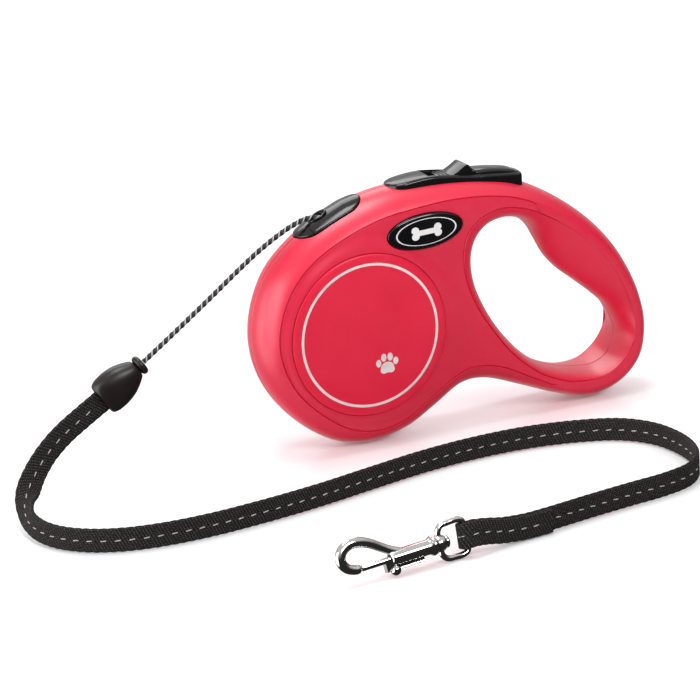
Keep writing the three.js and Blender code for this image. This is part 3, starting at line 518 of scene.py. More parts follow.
# The six faces between corners listed with X slowest and Z fastest.
BOX_FACES = [(0, 1, 3, 2), (4, 6, 7, 5), (0, 4, 5, 1), (2, 3, 7, 6), (0, 2, 6, 4), (1, 5, 7, 3)]


def box(low, high):
    x_pair, y_pair, z_pair = zip(low, high)
    return [(x, y, z) for x in x_pair for y in y_pair for z in z_pair], BOX_FACES


def spline(points, steps, closed=False):
    """Points on a centripetal Catmull-Rom curve through the given points."""
    pts = [np.array(p, float) for p in points]
    n = len(pts)
    out = []
    spans = n if closed else n - 1
    for i in range(spans):
        p1, p2 = pts[i], pts[(i + 1) % n]
        p0 = pts[i - 1] if closed or i > 0 else 2 * p1 - p2
        p3 = pts[(i + 2) % n] if closed or i + 2 < n else 2 * p2 - p1
        d1 = max(np.linalg.norm((p1 - p0)[:3]) ** 0.5, 1e-4)
        d2 = max(np.linalg.norm((p2 - p1)[:3]) ** 0.5, 1e-4)
        d3 = max(np.linalg.norm((p3 - p2)[:3]) ** 0.5, 1e-4)
        m1 = ((p1 - p0) / d1 - (p2 - p0) / (d1 + d2) + (p2 - p1) / d2) * d2
        m2 = ((p2 - p1) / d2 - (p3 - p1) / (d2 + d3) + (p3 - p2) / d3) * d2
        for k in range(steps):
            t = k / steps
            out.append(
                (2 * t**3 - 3 * t**2 + 1) * p1
                + (t**3 - 2 * t**2 + t) * m1
                + (-2 * t**3 + 3 * t**2) * p2
                + (t**3 - t**2) * m2
            )
    if not closed:
        out.append(pts[-1])
    return np.array(out)


def running_length(points):
    return np.r_[0, np.cumsum(np.linalg.norm(np.diff(points[:, :3], axis=0), axis=1))]


def even(points, step):
    """The polyline resampled at even distances, and those distances."""
    points = np.asarray(points, float)
    lengths = running_length(points)
    count = max(2, int(round(lengths[-1] / step)) + 1)
    at = np.linspace(0, lengths[-1], count)
    return np.stack([np.interp(at, lengths, points[:, k]) for k in range(points.shape[1])], 1), at


def tangents(points):
    t = np.gradient(points, axis=0)
    return t / np.linalg.norm(t, axis=1)[:, None]


def carried_frames(points, first):
    """Two directions across a path, carried along it without twist."""
    t = tangents(points)
    n = np.array(first, float)
    normals = []
    for tangent in t:
        n = n - tangent * n.dot(tangent)
        n = n / np.linalg.norm(n)
        normals.append(n)
    normals = np.array(normals)
    return normals, np.cross(t, normals)


def tube(points, radius, sides, first=(0, 1, 0)):
    """Rings round a path, and the length along it. radius is a number or a function of angle and length."""
    points = np.asarray(points, float)
    across, up = carried_frames(points, first)
    lengths = running_length(points)
    rings = []
    for p, a, u, s in zip(points, across, up, lengths):
        ring = []
        for k, (cosine, sine) in enumerate(circle(sides)):
            r = radius(2 * math.pi * k / sides, s) if callable(radius) else radius
            ring.append(p + a * (r * cosine) + u * (r * sine))
        rings.append(ring)
    return rings, lengths


def merge(parts):
    """Several (vertices, faces) as one."""
    vertices, faces = [], []
    for v, f in parts:
        start = len(vertices)
        vertices += list(v)
        faces += [tuple(i + start for i in face) for face in f]
    return vertices, faces


def moved(part, matrix):
    vertices, faces = part
    return [tuple(matrix @ Vector(v)) for v in vertices], faces


def bevel(obj, width, segments, angle):
    """Rounds every edge sharper than the angle, and keeps the result in the mesh."""
    modifier = obj.modifiers.new("round", "BEVEL")
    modifier.width = width * MM
    modifier.segments = segments
    modifier.limit_method = "ANGLE"
    modifier.angle_limit = math.radians(angle)
    keep_modified(obj)


def prism(outline, half):
    """A flat XZ outline as a part that reaches half to each side of y 0."""
    return skin([[(x, y, z) for x, z in outline] for y in (-half, half)])


# ------------------------------------------------------------------ housing
# Mid-plane outline and side-face line, clockwise from the grip's end: outline x, z, face x, z.
OUTER = [
    (81.1, 26.5, 75.4, 27.4), (78.4, 12.8, 73.0, 16.4), (68.4, 3.4, 65.9, 9.0), (54.3, 0, 54.1, 6.2),
    (40, 4.4, 41.3, 8.6), (26.2, 10.2, 28.6, 14.8), (11.6, 15.6, 14.0, 22.4), (0.5, 15.3, 0.6, 23.8),
    (-10.5, 8.9, -13.2, 16.8), (-22, 3.0, -24.6, 9.7), (-36, 0, -36.4, 7.0), (-50.5, 2.3, -48.2, 9.4),
    (-64.3, 11.6, -59.5, 17.2), (-75.2, 24.9, -69.4, 28.6), (-80.6, 39.5, -74.2, 41.8),
    (-80.2, 55, -73.8, 53.8), (-73.8, 71, -68.4, 66.6), (-62.5, 82.4, -59.0, 76.4),
    (-48, 90.8, -46.0, 83.4), (-32, 95.7, -31.2, 88.2), (-18, 97.4, -17.6, 90.0), (-2, 97.0, -2.0, 90.9),
    (14, 95.0, 13.2, 89.8), (28.3, 91.6, 26.6, 86.6), (43.1, 84.1, 40.1, 79.6), (56.7, 73.9, 53.2, 69.9),
    (66.8, 63, 62.8, 59.9), (73.7, 52, 69.3, 49.8), (78.7, 39.8, 73.9, 38.6),
]
# The hand opening in the same way; its second line is the fine groove round it.
HAND = [
    (69.9, 25.5, 73.6, 28.2), (69.2, 19.5, 71.8, 21.6), (66.2, 14.6, 67.8, 15.8), (60.0, 11.8, 60.7, 11.0),
    (53.0, 11.9, 52.8, 9.9), (44.5, 13.6, 43.6, 11.0), (35.3, 17.6, 33.8, 15.1), (28.0, 23.2, 26.5, 20.4),
    (22.1, 29.9, 19.7, 26.9), (16.9, 37.2, 13.6, 35.3), (12.4, 46.0, 7.4, 45.4), (9.2, 55.5, 3.2, 56.0),
    (8.8, 64.5, 1.6, 66.0), (11.2, 71.2, 3.6, 75.8), (16.0, 75.9, 9.8, 81.6), (22.6, 77.5, 19.0, 83.9),
    (29.5, 76.2, 29.0, 81.9), (34.6, 72.0, 39.0, 76.9), (37.8, 65.8, 47.0, 71.6), (41.0, 59.3, 53.4, 66.8),
    (46.0, 53.2, 58.6, 61.4), (53.0, 47.1, 63.8, 54.9), (60.6, 40.4, 68.8, 47.0), (66.2, 34.3, 72.1, 38.8),
]
SCREWS = [(-65.3, 73.0), (-13.6, 13.8), (-0.4, 58.5), (53.4, 61.8), (75.3, 22.5)]
BADGE = {"x": -13.6, "z": 80.9, "long": 15.4, "short": 6.6, "tilt": 2.0}


def closed_rows(rows, steps):
    """A uniform Catmull-Rom loop through the rows."""
    rows = np.array(rows, float)
    out = []
    for i in range(len(rows)):
        a, b, c, d = rows[i - 1], rows[i], rows[(i + 1) % len(rows)], rows[(i + 2) % len(rows)]
        for k in range(steps):
            t = k / steps
            cubic = 2 * b - 2 * c + (c - a) / 2 + (d - b) / 2
            square = 3 * c - 3 * b - (c - a) - (d - b) / 2
            out.append(((cubic * t + square) * t + (c - a) / 2) * t + b)
    return np.array(out)


def into_material(loop, hole):
    """Unit normals of a closed XZ loop that point into the plastic."""
    step = np.roll(loop, -1, 0) - np.roll(loop, 1, 0)
    area = np.sum(loop[:, 0] * np.roll(loop[:, 1], -1) - np.roll(loop[:, 0], -1) * loop[:, 1])
    normal = np.stack([-step[:, 1], step[:, 0]], 1)
    normal /= np.linalg.norm(normal, axis=1)[:, None]
    inside = normal if area > 0 else -normal
    return -inside if hole else inside


def crown_share(y):
    def drop(at):
        return CROWN_RADIUS - math.sqrt(CROWN_RADIUS**2 - at**2)

    return drop(min(abs(y), FACE_Y)) / drop(FACE_Y)


def edge_rings(rows, hole, side, groove):
    """Rings of the rim or of the opening's wall, from the parting line to the side face.

    groove is 1 where the face line is cut and 0 where the edge is plainly rounded.
    """
    mid, face = rows[:, :2], rows[:, 2:]
    mid_in, face_in = into_material(mid, hole), into_material(face, hole)

    def ring(y, inset=0.0, depth=0.0):
        share = crown_share(y)
        inwards = face_in if y > 6 else mid_in
        flat = mid + (face - mid) * share + inwards * np.reshape(inset, (-1, 1))
        height = side * (y - depth) * np.ones(len(rows))
        return np.stack([flat[:, 0], height, flat[:, 1]], 1)

    seam = 0.12 if hole else 0.26
    rings = [ring(0.05, seam), ring(0.2, seam / 3), ring(0.48)]
    rings += [ring(y) for y in (1.6, 3, 4.4, 5.8, 7, 8.1, 9.1, 10, 10.8, 11.5, 12.1, 12.55)]

    def shared(grooved, rounded):
        return grooved * groove + rounded * (1 - groove)

    rings.append(ring(12.88, shared(-0.03 if hole else 0.0, 0.5), shared(0.0, 0.12)))
    rings.append(ring(13, shared(0.13, 1.1), shared(0.55, 0.1)))
    rings.append(ring(13, shared(0.4, 1.8), 0.03))
    rings.append(ring(13, shared(0.62, 2.8)))
    return rings


def annulus(outer, inner, outer_start, inner_start):
    """Triangles between two loops, as indices."""
    indices = [outer_start + i for i in range(len(outer))] + [inner_start + i for i in range(len(inner))]
    loops = [[Vector(p) for p in outer], [Vector(p) for p in inner]]
    return [tuple(indices[i] for i in triangle) for triangle in tessellate_polygon(loops)]


def ring_body(outer_rings, inner_rings):
    """A solid between an outer wall and the wall of its opening."""
    outer, inner = skin(outer_rings, capped=False), skin(inner_rings, capped=False)
    start = len(outer[0])
    vertices, faces = merge([outer, inner])
    faces += annulus(outer_rings[0], inner_rings[0], 0, start)
    last_outer, last_inner = start - len(outer_rings[0]), len(vertices) - len(inner_rings[0])
    faces += annulus(outer_rings[-1], inner_rings[-1], last_outer, last_inner)
    return vertices, faces


def cavity(side):
    """The hollow inside one half."""
    wall = 2.2

    def rings(rows, hole):
        mid, face = rows[:, :2], rows[:, 2:]
        mid_in = into_material(mid, hole)
        out = []
        for y in (-0.5, 4.8, 8.2, 9.5):
            flat = mid + (face - mid) * crown_share(max(y, 0)) + mid_in * wall
            out.append(np.stack([flat[:, 0], side * y * np.ones(len(rows)), flat[:, 1]], 1))
        return out

    return ring_body(rings(closed_rows(OUTER, 2), False), rings(closed_rows(HAND, 2), True))


def badge_ring(side, y, margin=0.0, share=1.0):
    """The badge's oval at a height, wider by the margin and then scaled about its middle."""
    c, s = math.cos(math.radians(BADGE["tilt"])), math.sin(math.radians(BADGE["tilt"]))
    ring = []
    for cosine, sine in circle(96):
        u, v = (BADGE["long"] + margin) * cosine, (BADGE["short"] + margin) * sine
        ring.append((BADGE["x"] + (u * c - v * s) * share, side * y, BADGE["z"] + (u * s + v * c) * share))
    return ring


# The rim as a strip that trim pieces are built on: u along the outline, v across it, h outwards.
RIM = closed_rows(OUTER, 12)
RIM_OUT = -into_material(RIM[:, :2], False)
RIM_LENGTH = running_length(RIM[:, :2])
OUTLET_AT = RIM_LENGTH[np.argmin(np.hypot(RIM[:, 0] + 48.2, RIM[:, 1] - 90.2))]


def on_rim(u, v, h):
    place = OUTLET_AT + u
    row = [np.interp(place, RIM_LENGTH, RIM[:, k]) for k in range(4)]
    out = [np.interp(place, RIM_LENGTH, RIM_OUT[:, k]) for k in range(2)]
    share = crown_share(v)
    lean = v / CROWN_RADIUS
    level = math.sqrt(max(0.0, 1 - lean * lean))
    x = row[0] + (row[2] - row[0]) * share + out[0] * h * level
    z = row[1] + (row[3] - row[1]) * share + out[1] * h * level
    return (x, v + h * lean, z)


def pill(inset, h):
    """The outlet plate's outline on the rim."""
    half_length, half_width = 14.4, 7.2
    straight = half_length - half_width
    radius = half_width - inset
    return [on_rim(radius * c + math.copysign(straight, c), radius * s, h) for c, s in circle(96, 0.5)]


def passage(radius):
    """The way the cord takes through the rim."""
    way = [(-43.4, -0.4, 78), (-45.6, -0.3, 83), (-48.4, -0.1, 87), (-51.6, 0, 90.0), (-57.5, 0, 92.0)]
    return skin(tube(spline(way, 6), radius, 24)[0])


def boss(side):
    """The raised round that carries the disc, rising gently from just inside the face line."""
    face = closed_rows(OUTER, 6)[:, 2:] - np.array(DRUM)
    bearings = np.arctan2(face[:, 1], face[:, 0])
    reach = np.hypot(face[:, 0], face[:, 1])
    order = np.argsort(bearings)
    sides = 180
    angles = np.linspace(-math.pi, math.pi, sides, endpoint=False)
    foot = np.interp(angles, bearings[order], reach[order], period=2 * math.pi) - 0.9
    # Its foot reaches 42 mm out at most, and 6.5 mm less towards the badge, which lies at 54 degrees.
    foot = np.minimum(foot, 42 - 6.5 * np.exp(-(((np.degrees(angles) - 54) / 30) ** 2)))
    foot = np.mean([np.roll(foot, k) for k in range(-4, 5)], axis=0)
    low, lip, lip_radius = FACE_Y - 0.02, 14.1, 32.3

    def ring(radii, y):
        both = zip(np.broadcast_to(radii, (sides,)), angles)
        return [(DRUM[0] + r * math.cos(a), side * y, DRUM[1] + r * math.sin(a)) for r, a in both]

    rings = [ring(20, 11), ring(foot - 0.2, 11.6), ring(foot, low - 0.1)]
    for k in range(9):
        t = k / 8
        rise = 0.5 * t + 0.5 * t * t * (3 - 2 * t)
        rings.append(ring(foot + (lip_radius - foot) * t, low + (lip - low) * rise * 0.97))
    rings += [ring(31.95, lip - 0.01), ring(31.6, lip), ring(20, lip)]
    return skin(rings)


def housing_half(side):
    rim_rows, hand_rows = closed_rows(OUTER, 6), closed_rows(HAND, 6)
    # The face line is cut all round the casing and the neck, and fades out on the grip.
    fade = np.clip((44 - rim_rows[:, 2]) / 8, 0, 1)
    fade = np.where(rim_rows[:, 3] > 60, np.clip((35 - rim_rows[:, 2]) / 3, 0, 1), fade)
    body = ring_body(edge_rings(rim_rows, False, side, fade), edge_rings(hand_rows, True, side, 1.0))
    shell = solid(body, "shell")
    join(shell, boss(side))
    disc_seat = [(0, 13.7), (31.16, 13.7), (31.16, 13.95), (31.45, 14.25), (31.45, 18), (0, 18)]
    cut(shell, lathe([(r, side * y) for r, y in disc_seat], *DRUM, 128))
    badge_seat = [(12.2, 0.14), (12.8, 0.14), (13.1, 0.45), (16, 0.45)]
    cut(shell, skin([badge_ring(side, y, margin) for y, margin in badge_seat]))
    outlet_seat = [(-0.22, -3.6), (-0.22, -0.35), (-0.5, 0.1), (-0.5, 3.0)]
    cut(shell, skin([pill(inset, h) for inset, h in outlet_seat]))
    cut(shell, cavity(side))
    drum_room = [(0, -side), (31.3, -side), (31.3, side * 12.5), (0, side * 12.5)]
    cut(shell, lathe(drum_room, *DRUM, 64))
    cut(shell, box((-6.5, -5.4, 80), (30.3, 5.4, 110)))  # the brake's slot
    cut(shell, passage(2.3))
    if side > 0:
        for x, z in SCREWS:
            cut(shell, lathe([(0, 4.9), (2.9, 4.9), (2.9, 20), (0, 20)], x, z, 40))
    word = WORDS[side]
    finished(shell, "shell_" + word, SHELL, "housing", 34, "shell_red", "housing_" + word)


def side_disc(side):
    rows = [(0, 14.0), (30.95, 14.0), (31.0, 14.05), (31.0, 14.4), (30.88, 14.62), (30.5, 14.78)]
    rows += [(29.6, 14.9), (28.0, 14.97), (26.0, 15.0), (18, 15.0), (10, 15.0), (0, 15.0)]
    disc = solid(lathe([(r, side * y) for r, y in rows], *DRUM, 144))
    word = WORDS[side]
    finished(disc, "disc_" + word, disc_material(side), "housing", 30, "disc_red", "side_disc_" + word)


def badge(side):
    dome = [(12.5, 1), (13.3, 1), (13.5, 0.992), (13.7, 0.972), (13.86, 0.94), (14.02, 0.88), (14.16, 0.8)]
    dome += [(14.3, 0.68), (14.42, 0.52), (14.52, 0.34), (14.58, 0.16), (14.6, 0.02)]
    obj = solid(skin([badge_ring(side, y, share=share) for y, share in dome]))
    material = badge_material(side, BADGE["x"], BADGE["z"], BADGE["tilt"])
    word = WORDS[side]
    finished(obj, "badge_dome_" + word, material, "housing", 40, "badge_black", "badge_" + word)


WORDS = {-1: "front", 1: "rear"}
for side in WORDS:
    housing_half(side)
for side in WORDS:
    side_disc(side)
    badge(side)


# ------------------------------------------------------------------ cord outlet
def outlet():
    """The black plate on the rim, with a raised lip round the cord's oval hole and one split line."""
    levels = [(0.0, -3.0), (0.0, 0.2), (0.06, 0.38), (0.2, 0.54), (0.45, 0.64), (1.0, 0.72), (2.2, 0.8)]
    levels += [(3.8, 0.84), (5.4, 0.86), (6.3, 0.86)]
    plate = solid(skin([pill(inset, h) for inset, h in levels]))
    hole_at, long, short = -3.2, 3.3, 2.1

    def oval(h, grow):
        return [on_rim(hole_at + (long + grow) * c, (short + grow) * s, h) for c, s in circle(48)]

    cut(plate, skin([oval(-4, -0.4), oval(0.2, -0.3), oval(0.9, 0.05), oval(2.5, 0.3)]))
    split_at, split_width = -8.6, 0.24
    ends = (0, split_width)
    split = [on_rim(split_at + a + v * 0.05, v, h) for h in (0.25, 3) for v in (-8, 8) for a in ends]
    cut(plate, (split, BOX_FACES))
    lip_path = oval(0.93, 0.3)
    lip_rings, _ = tube(lip_path + lip_path[:1], 0.42, 12)
    join(plate, skin(lip_rings[:-1], closed=True))
    finished(plate, "outlet_plate", BLACK_GLOSS, "housing", 35, "trim_black", "cord_outlet")


outlet()


# ------------------------------------------------------------------ brake
def profile_at(rows, x):
    xs, zs = zip(*rows)
    return float(np.interp(x, xs, zs))


def smooth_profile(rows):
    return [tuple(p[:2]) for p in spline([(x, z, 0) for x, z in rows], 8)]


FRAME_TOP = [(-24, 97.75), (-18, 98.6), (-12, 99.25), (-7, 99.4), (-2, 98.9), (4, 98.0), (10, 97.1)]
FRAME_TOP = smooth_profile(FRAME_TOP + [(17.6, 96.3), (24, 95.6), (30, 94.8), (35, 94.1)])
TOP_X, TOP_MID, TOP_FACE = zip(*sorted((x, z, face_z) for x, z, _, face_z in RIM if z > 80 and x < 60))


def rim_height(x, y):
    """The rim's own surface under the brake."""
    mid, face = np.interp(x, TOP_X, TOP_MID), np.interp(x, TOP_X, TOP_FACE)
    return mid + (face - mid) * crown_share(y)


def mirrored(x, section):
    """A ring at x from (y, z) rows that start on the mid-plane, with their mirror image."""
    return [(x, -y, z) for y, z in reversed(section[1:])] + [(x, y, z) for y, z in section]


def frame_plan():
    """Stations along the frame: x and half-width. The tip is blunt and the rear corners are round."""
    half, tip, end, corner = 6.7, -22.8, 31.4, 2.5
    out = []
    for k in range(31):
        t = (k / 30) ** 1.4
        weights = ((1 - t) ** 3, 3 * (1 - t) ** 2 * t, 3 * (1 - t) * t * t, t**3)
        x = sum(w * p for w, p in zip(weights, (tip, tip + 0.1, -20, -13)))
        y = sum(w * p for w, p in zip(weights, (0.05, half * 0.8, half, half)))
        out.append((x, y))
    out += [(x, half) for x in np.linspace(-11.5, end - corner, 36)]
    for k in range(1, 9):
        a = math.pi / 2 * k / 8.2
        out.append((end - corner + corner * math.sin(a), half - corner + corner * math.cos(a)))
    return out


def brake_frame():
    rings = []
    for x, half in frame_plan():
        top = profile_at(FRAME_TOP, x)
        low = rim_height(x, half) - 0.05
        edge = min(1.0, half)
        section = [(0, top), (0.45 * half, top - 0.06), (max(half - 1.5 * edge, 0.5 * half), top - 0.2)]
        section += [(half - 0.8 * edge, top - 0.36), (half - 0.36 * edge, top - 0.58)]
        section += [(half - 0.1 * edge, top - 0.95), (half, top - 1.45)]
        section = [(y, max(z, low + 0.02 * (7 - i))) for i, (y, z) in enumerate(section)]
        section += [(half, low), (half, low - 0.6), (half * 0.4, low - 0.8)]
        rings.append(mirrored(x, section))
    frame_body = solid(skin(rings))
    slot = [(-6.4, 80), (30.1, 80), (30.1, 110), (-7.4, 110), (-7.4, 99.3), (-6.4, 98.3)]
    cut(frame_body, prism(slot, 5.15))
    bevel(frame_body, 0.14, 2, 40)
    finished(frame_body, "brake_frame", BLACK_GLOSS, "housing", 38, "trim_black", "brake_cover")


brake_frame()


def lock_slider():
    """The thumb hump, with three ridges in front of it."""
    outline = [(-2.1, 92.4), (12.05, 92.4), (12.05, 97.9), (11.2, 98.0), (10.7, 98.6), (10.1, 99.9)]
    outline += [(9.6, 100.65), (9.0, 100.95), (8.3, 100.9), (7.5, 100.4), (5.0, 98.9), (3.2, 98.1)]
    for k in range(3):
        x = 2.3 - 1.35 * k
        outline += [(x, 97.75), (x - 0.35, 98.15), (x - 0.75, 98.15), (x - 1.05, 97.75)]
    outline += [(-2.1, 97.6)]
    slider = solid(prism(outline, 4.85))
    bevel(slider, 0.22, 3, 20)
    finished(slider, "slider_hump", BLACK_GLOSS, "lock", 30, "button_black", "lock_slider")


lock_slider()


def brake_button():
    """The long button, with three grooves across its rear end."""
    front, rear, foot, half = 12.4, 29.9, 88.7, 4.88
    tops = [(front, 98.2), (16, 97.95), (20, 97.5), (24, 96.85), (27.5, 96.1), (29.2, 95.5), (rear, 95.0)]
    tops = smooth_profile(tops)
    crown = [(0, 0), (2.0, 0.05), (3.4, 0.18), (4.3, 0.42), (4.7, 0.72), (half, 1.15)]
    rings = []
    for x in np.linspace(front, rear, 40):
        top = profile_at(tops, x)
        rings.append(mirrored(x, [(y, top - drop) for y, drop in crown] + [(half, foot)]))
    button = solid(skin(rings))
    # A low step reaches under the slider and fills the slot behind it when the slider locks.
    join(button, box((7.6, -half, foot), (front + 0.5, half, 92.0)))
    for k in range(3):
        x = 23.6 + 1.6 * k
        z = profile_at(tops, x)
        cut(button, box((x, -3.2, z - 0.22), (x + 0.35, 3.2, z + 1)))
    bevel(button, 0.16, 2, 45)
    finished(button, "button_top", BLACK_GLOSS, "brake", 35, "button_black", "brake_button")


brake_button()

# ------------------------------------------------------------------ cord
# The route's points, as in the CAD, in metres.
CORD_ROUTE = [
    (-0.0406, -0.0012, 0.0767), (-0.0436, -0.0008, 0.0824), (-0.0474, -0.0003, 0.0872), (-0.0512, 0, 0.0896),
    (-0.0556, 0, 0.0898), (-0.0614, -0.0005, 0.0883), (-0.0683, -0.001, 0.0853), (-0.0759, -0.0014, 0.0811),
    (-0.0832, -0.0018, 0.0764), (-0.0903, -0.0021, 0.0715), (-0.0977, -0.0025, 0.0664),
    (-0.1052, -0.0028, 0.0613), (-0.1126, -0.0031, 0.0563), (-0.1194, -0.0034, 0.0518),
    (-0.1246, -0.0036, 0.04835),
]


def free_cord():
    """Two lobes that wind round each other along the route."""
    points, _ = even(spline([tuple(c / MM for c in p) for p in CORD_ROUTE], 12), 0.28)
    twist, sides = 2.8, 20

    def lobes(angle, s):
        return 0.93 + 0.13 * math.sin(2 * angle + 2 * math.pi * s / twist)

    rings, lengths = tube(points, lobes, sides)
    uvs = [(s / twist, k / sides) for s in lengths for k in range(sides)]
    obj = solid(skin(rings), "cord", uvs)
    finished(obj, "cord_braided", cord_material(), "housing", 60, "cord_black", "cord")
    close_uvs(obj)
    return obj, points


def close_uvs(obj):
    """Carries V past 1 on the faces that close a tube."""
    layer = obj.data.uv_layers[0]
    for face in obj.data.polygons:
        values = [layer.data[i].uv[1] for i in face.loop_indices]
        if max(values) - min(values) > 0.5 and len(values) == 4:
            for i in face.loop_indices:
                if layer.data[i].uv[1] < 0.5:
                    layer.data[i].uv[1] += 1.0


cord, cord_path = free_cord()

# ------------------------------------------------------------------ stopper
def placed(x, y, z, yaw, pitch):
    """A frame's matrix: its origin in millimetres, its turns in degrees."""
    turn = Matrix.Rotation(math.radians(yaw), 4, "Z") @ Matrix.Rotation(math.radians(pitch), 4, "Y")
    return Matrix.Translation((x, y, z)) @ turn


# The stopper's own frame: X along it from the cord's end to the strap's mouth.
STOPPER_PLACE = placed(-124.9, -3.6, 48.15, 180, 33.5)


def oval_loft(rows, sides, power, seam=0.0):
    """Superellipse rings along X: rows are x, half-height, half-width. seam is a line's depth."""
    rings = []
    for x, high, wide in rows:
        ring = []
        for k, (c, s) in enumerate(circle(sides)):
            r = (abs(c) ** power + abs(s) ** power) ** (-1 / power)
            for seam_at in (0.62 * math.pi, 1.62 * math.pi):
                r *= 1 - seam * math.exp(-(((2 * math.pi * k / sides - seam_at) / 0.03) ** 2))
            ring.append((x, wide * r * c, high * r * s))
        rings.append(ring)
    return moved(skin(rings), STOPPER_PLACE)


def stopper_collar():
    rows = [(0, 1.3, 1.3), (0.05, 2.6, 2.6), (0.3, 3.3, 3.3), (0.8, 3.75, 3.75), (1.4, 3.85, 3.85)]
    rows += [(2.0, 3.75, 3.75), (2.5, 3.3, 3.3), (2.75, 2.7, 2.7), (2.95, 2.4, 2.4)]
    ring = solid(oval_loft(spline(rows, 3), 64, 2.0))
    return finished(ring, "stopper_ring", STOPPER_LOOK, "housing", 50, "stopper_brown", "stopper_collar")


def stopper_body():
    rows = [(2.95, 2.4, 2.3), (3.05, 3.1, 2.8), (3.5, 3.7, 3.2), (4.6, 4.4, 3.75), (6.6, 5.5, 4.35)]
    rows += [(9.2, 6.6, 4.85), (12.2, 7.3, 5.0), (15.2, 7.5, 4.95), (17.8, 7.3, 4.6), (19.2, 6.8, 4.2)]
    rows += [(19.9, 6.3, 3.8)]
    body = solid(oval_loft(list(spline(rows, 4)) + [(20.2, 5.6, 3.3)], 120, 2.35, 0.03))
    cut(body, oval_loft([(17.2, 4.9, 1.1), (19.4, 4.9, 1.15), (21, 5.3, 1.7)], 48, 4.0))
    return finished(body, "stopper_shell", STOPPER_LOOK, "housing", 35, "stopper_brown", "stopper_body")


stopper_ring = stopper_collar()
stopper_shell = stopper_body()

# ------------------------------------------------------------------ strap
# From the stopper to the sewn fold: place x, y, z in metres, then the direction of the strap's upper edge.
STRAP_ROUTE = [
    (-0.1423, -0.0039, 0.03665, 0.55, 0, -0.83), (-0.150, -0.0044, 0.0323, 0.5, 0, -0.86),
    (-0.158, -0.0052, 0.0276, 0.55, 0, -0.83), (-0.1652, -0.0066, 0.0222, 0.66, 0, -0.75),
    (-0.171, -0.009, 0.0166, 0.85, -0.05, -0.5), (-0.1756, -0.0132, 0.0116, 0.95, -0.05, 0.1),
    (-0.1788, -0.02, 0.008, 0.62, 0.1, 0.75), (-0.1802, -0.029, 0.0059, 0.2, 0.1, 0.97),
    (-0.1786, -0.0386, 0.005, 0.06, 0.05, 1), (-0.174, -0.0476, 0.00475, 0, 0, 1),
    (-0.166, -0.0555, 0.00475, 0, 0, 1), (-0.156, -0.0606, 0.00475, 0, 0, 1),
    (-0.144, -0.0634, 0.00475, 0, 0, 1), (-0.128, -0.0643, 0.00475, 0, 0, 1),
    (-0.106, -0.0624, 0.00475, 0, 0, 1), (-0.081, -0.0582, 0.00475, 0, 0, 1),
    (-0.058, -0.0526, 0.00475, 0, 0, 1), (-0.036, -0.0476, 0.00475, 0, 0, 1),
    (-0.014, -0.045, 0.00475, 0, 0, 1), (0.008, -0.0456, 0.00475, 0, 0, 1),
    (0.027, -0.0502, 0.00475, 0, 0, 1), (0.041, -0.0572, 0.00475, 0, 0, 1),
    (0.0488, -0.0676, 0.00475, 0, 0, 1), (0.0516, -0.08, 0.00475, 0, 0, 1),
    (0.051, -0.093, 0.00475, 0, 0, 1), (0.0466, -0.1052, 0.00475, 0, 0, 1),
    (0.0384, -0.1134, 0.00475, 0, 0, 1), (0.0264, -0.1174, 0.00475, 0, 0, 1),
    (0.012, -0.1192, 0.00475, 0, 0, 1), (-0.006, -0.1218, 0.00475, 0, 0, 1),
]
# The sewn fold round the ring's bar: millimetres along the strap from the bar, and to its side.
FOLD_OUT = [(33, 1), (24, 0.9), (15, 0.95), (8.5, 1.35), (3.5, 2.1)]
FOLD_BACK = [(0.4, 2.3), (-1.6, 1.65), (-2.3, 0), (-1.6, -1.65), (0.4, -2.3), (3.5, -2.1), (8.5, -1.35)]
FOLD_BACK += [(15, -0.95), (24, -0.9), (34, -0.9)]
STRAP_WIDTH, STRAP_THICKNESS, STRAP_CORNER = 9.0, 1.5, 0.55
LYING = 4.75  # height of the middle of the strap where it stands on its edge
SWIVEL_PLACE = placed(-69.6, -130.2, 6.9, 186, 2.5)
RING_TILT, HOOK_ROLL = math.radians(14), math.radians(18)
RING_BAR = -12.4  # the bar's place on the swivel's own X


def fold_rows(rows):
    """Rows of the fold like the route's, in millimetres: it leans with the ring at the bar only."""
    bar = SWIVEL_PLACE @ Vector((RING_BAR, 0, 0))
    heading = math.radians(5.3)
    c, s = math.cos(heading), math.sin(heading)
    out = []
    for along, aside in rows:
        t = min(max((along - 2) / 20, 0), 1)
        share = t * t * (3 - 2 * t)
        lean = RING_TILT * (1 - share)
        side = aside * math.cos(lean)
        level = bar.z + (LYING - bar.z) * share - aside * math.sin(lean)
        place = (bar.x + along * c - side * s, bar.y + along * s + side * c, level)
        out.append(place + (0, math.sin(lean), math.cos(lean)))
    return out


def band_frames(rows):
    """Even stations along a band: place, the width's direction, the thickness's and the length."""
    rows = np.array(rows, float)
    steps = 16
    centre = spline(rows[:, :3], steps)
    ups = []
    for i in range(len(rows) - 1):
        a, b = (rows[i + k, 3:] / np.linalg.norm(rows[i + k, 3:]) for k in (0, 1))
        ups += [a + (b - a) * k / steps for k in range(steps)]
    ups.append(rows[-1, 3:])
    both, at = even(np.hstack([centre, np.array(ups)]), 0.5)
    points, ups = both[:, :3], both[:, 3:]
    along = tangents(points)
    ups = ups - along * np.sum(ups * along, 1)[:, None]
    ups /= np.linalg.norm(ups, axis=1)[:, None]
    return points, ups, np.cross(along, ups), at


def strap_section():
    """A rounded rectangle as rows of (across the width, through the thickness)."""
    half_t, flat_end = STRAP_THICKNESS / 2, STRAP_WIDTH / 2 - STRAP_CORNER
    flat = np.linspace(flat_end, -flat_end, 9)
    section = []
    for face in (1, -1):
        section += [(face * w, face * half_t) for w in flat]
        for k in range(1, 6):
            a = math.pi * (k / 6 + face / 2)
            section.append((-face * flat_end + STRAP_CORNER * math.cos(a), half_t * math.sin(a)))
    return section


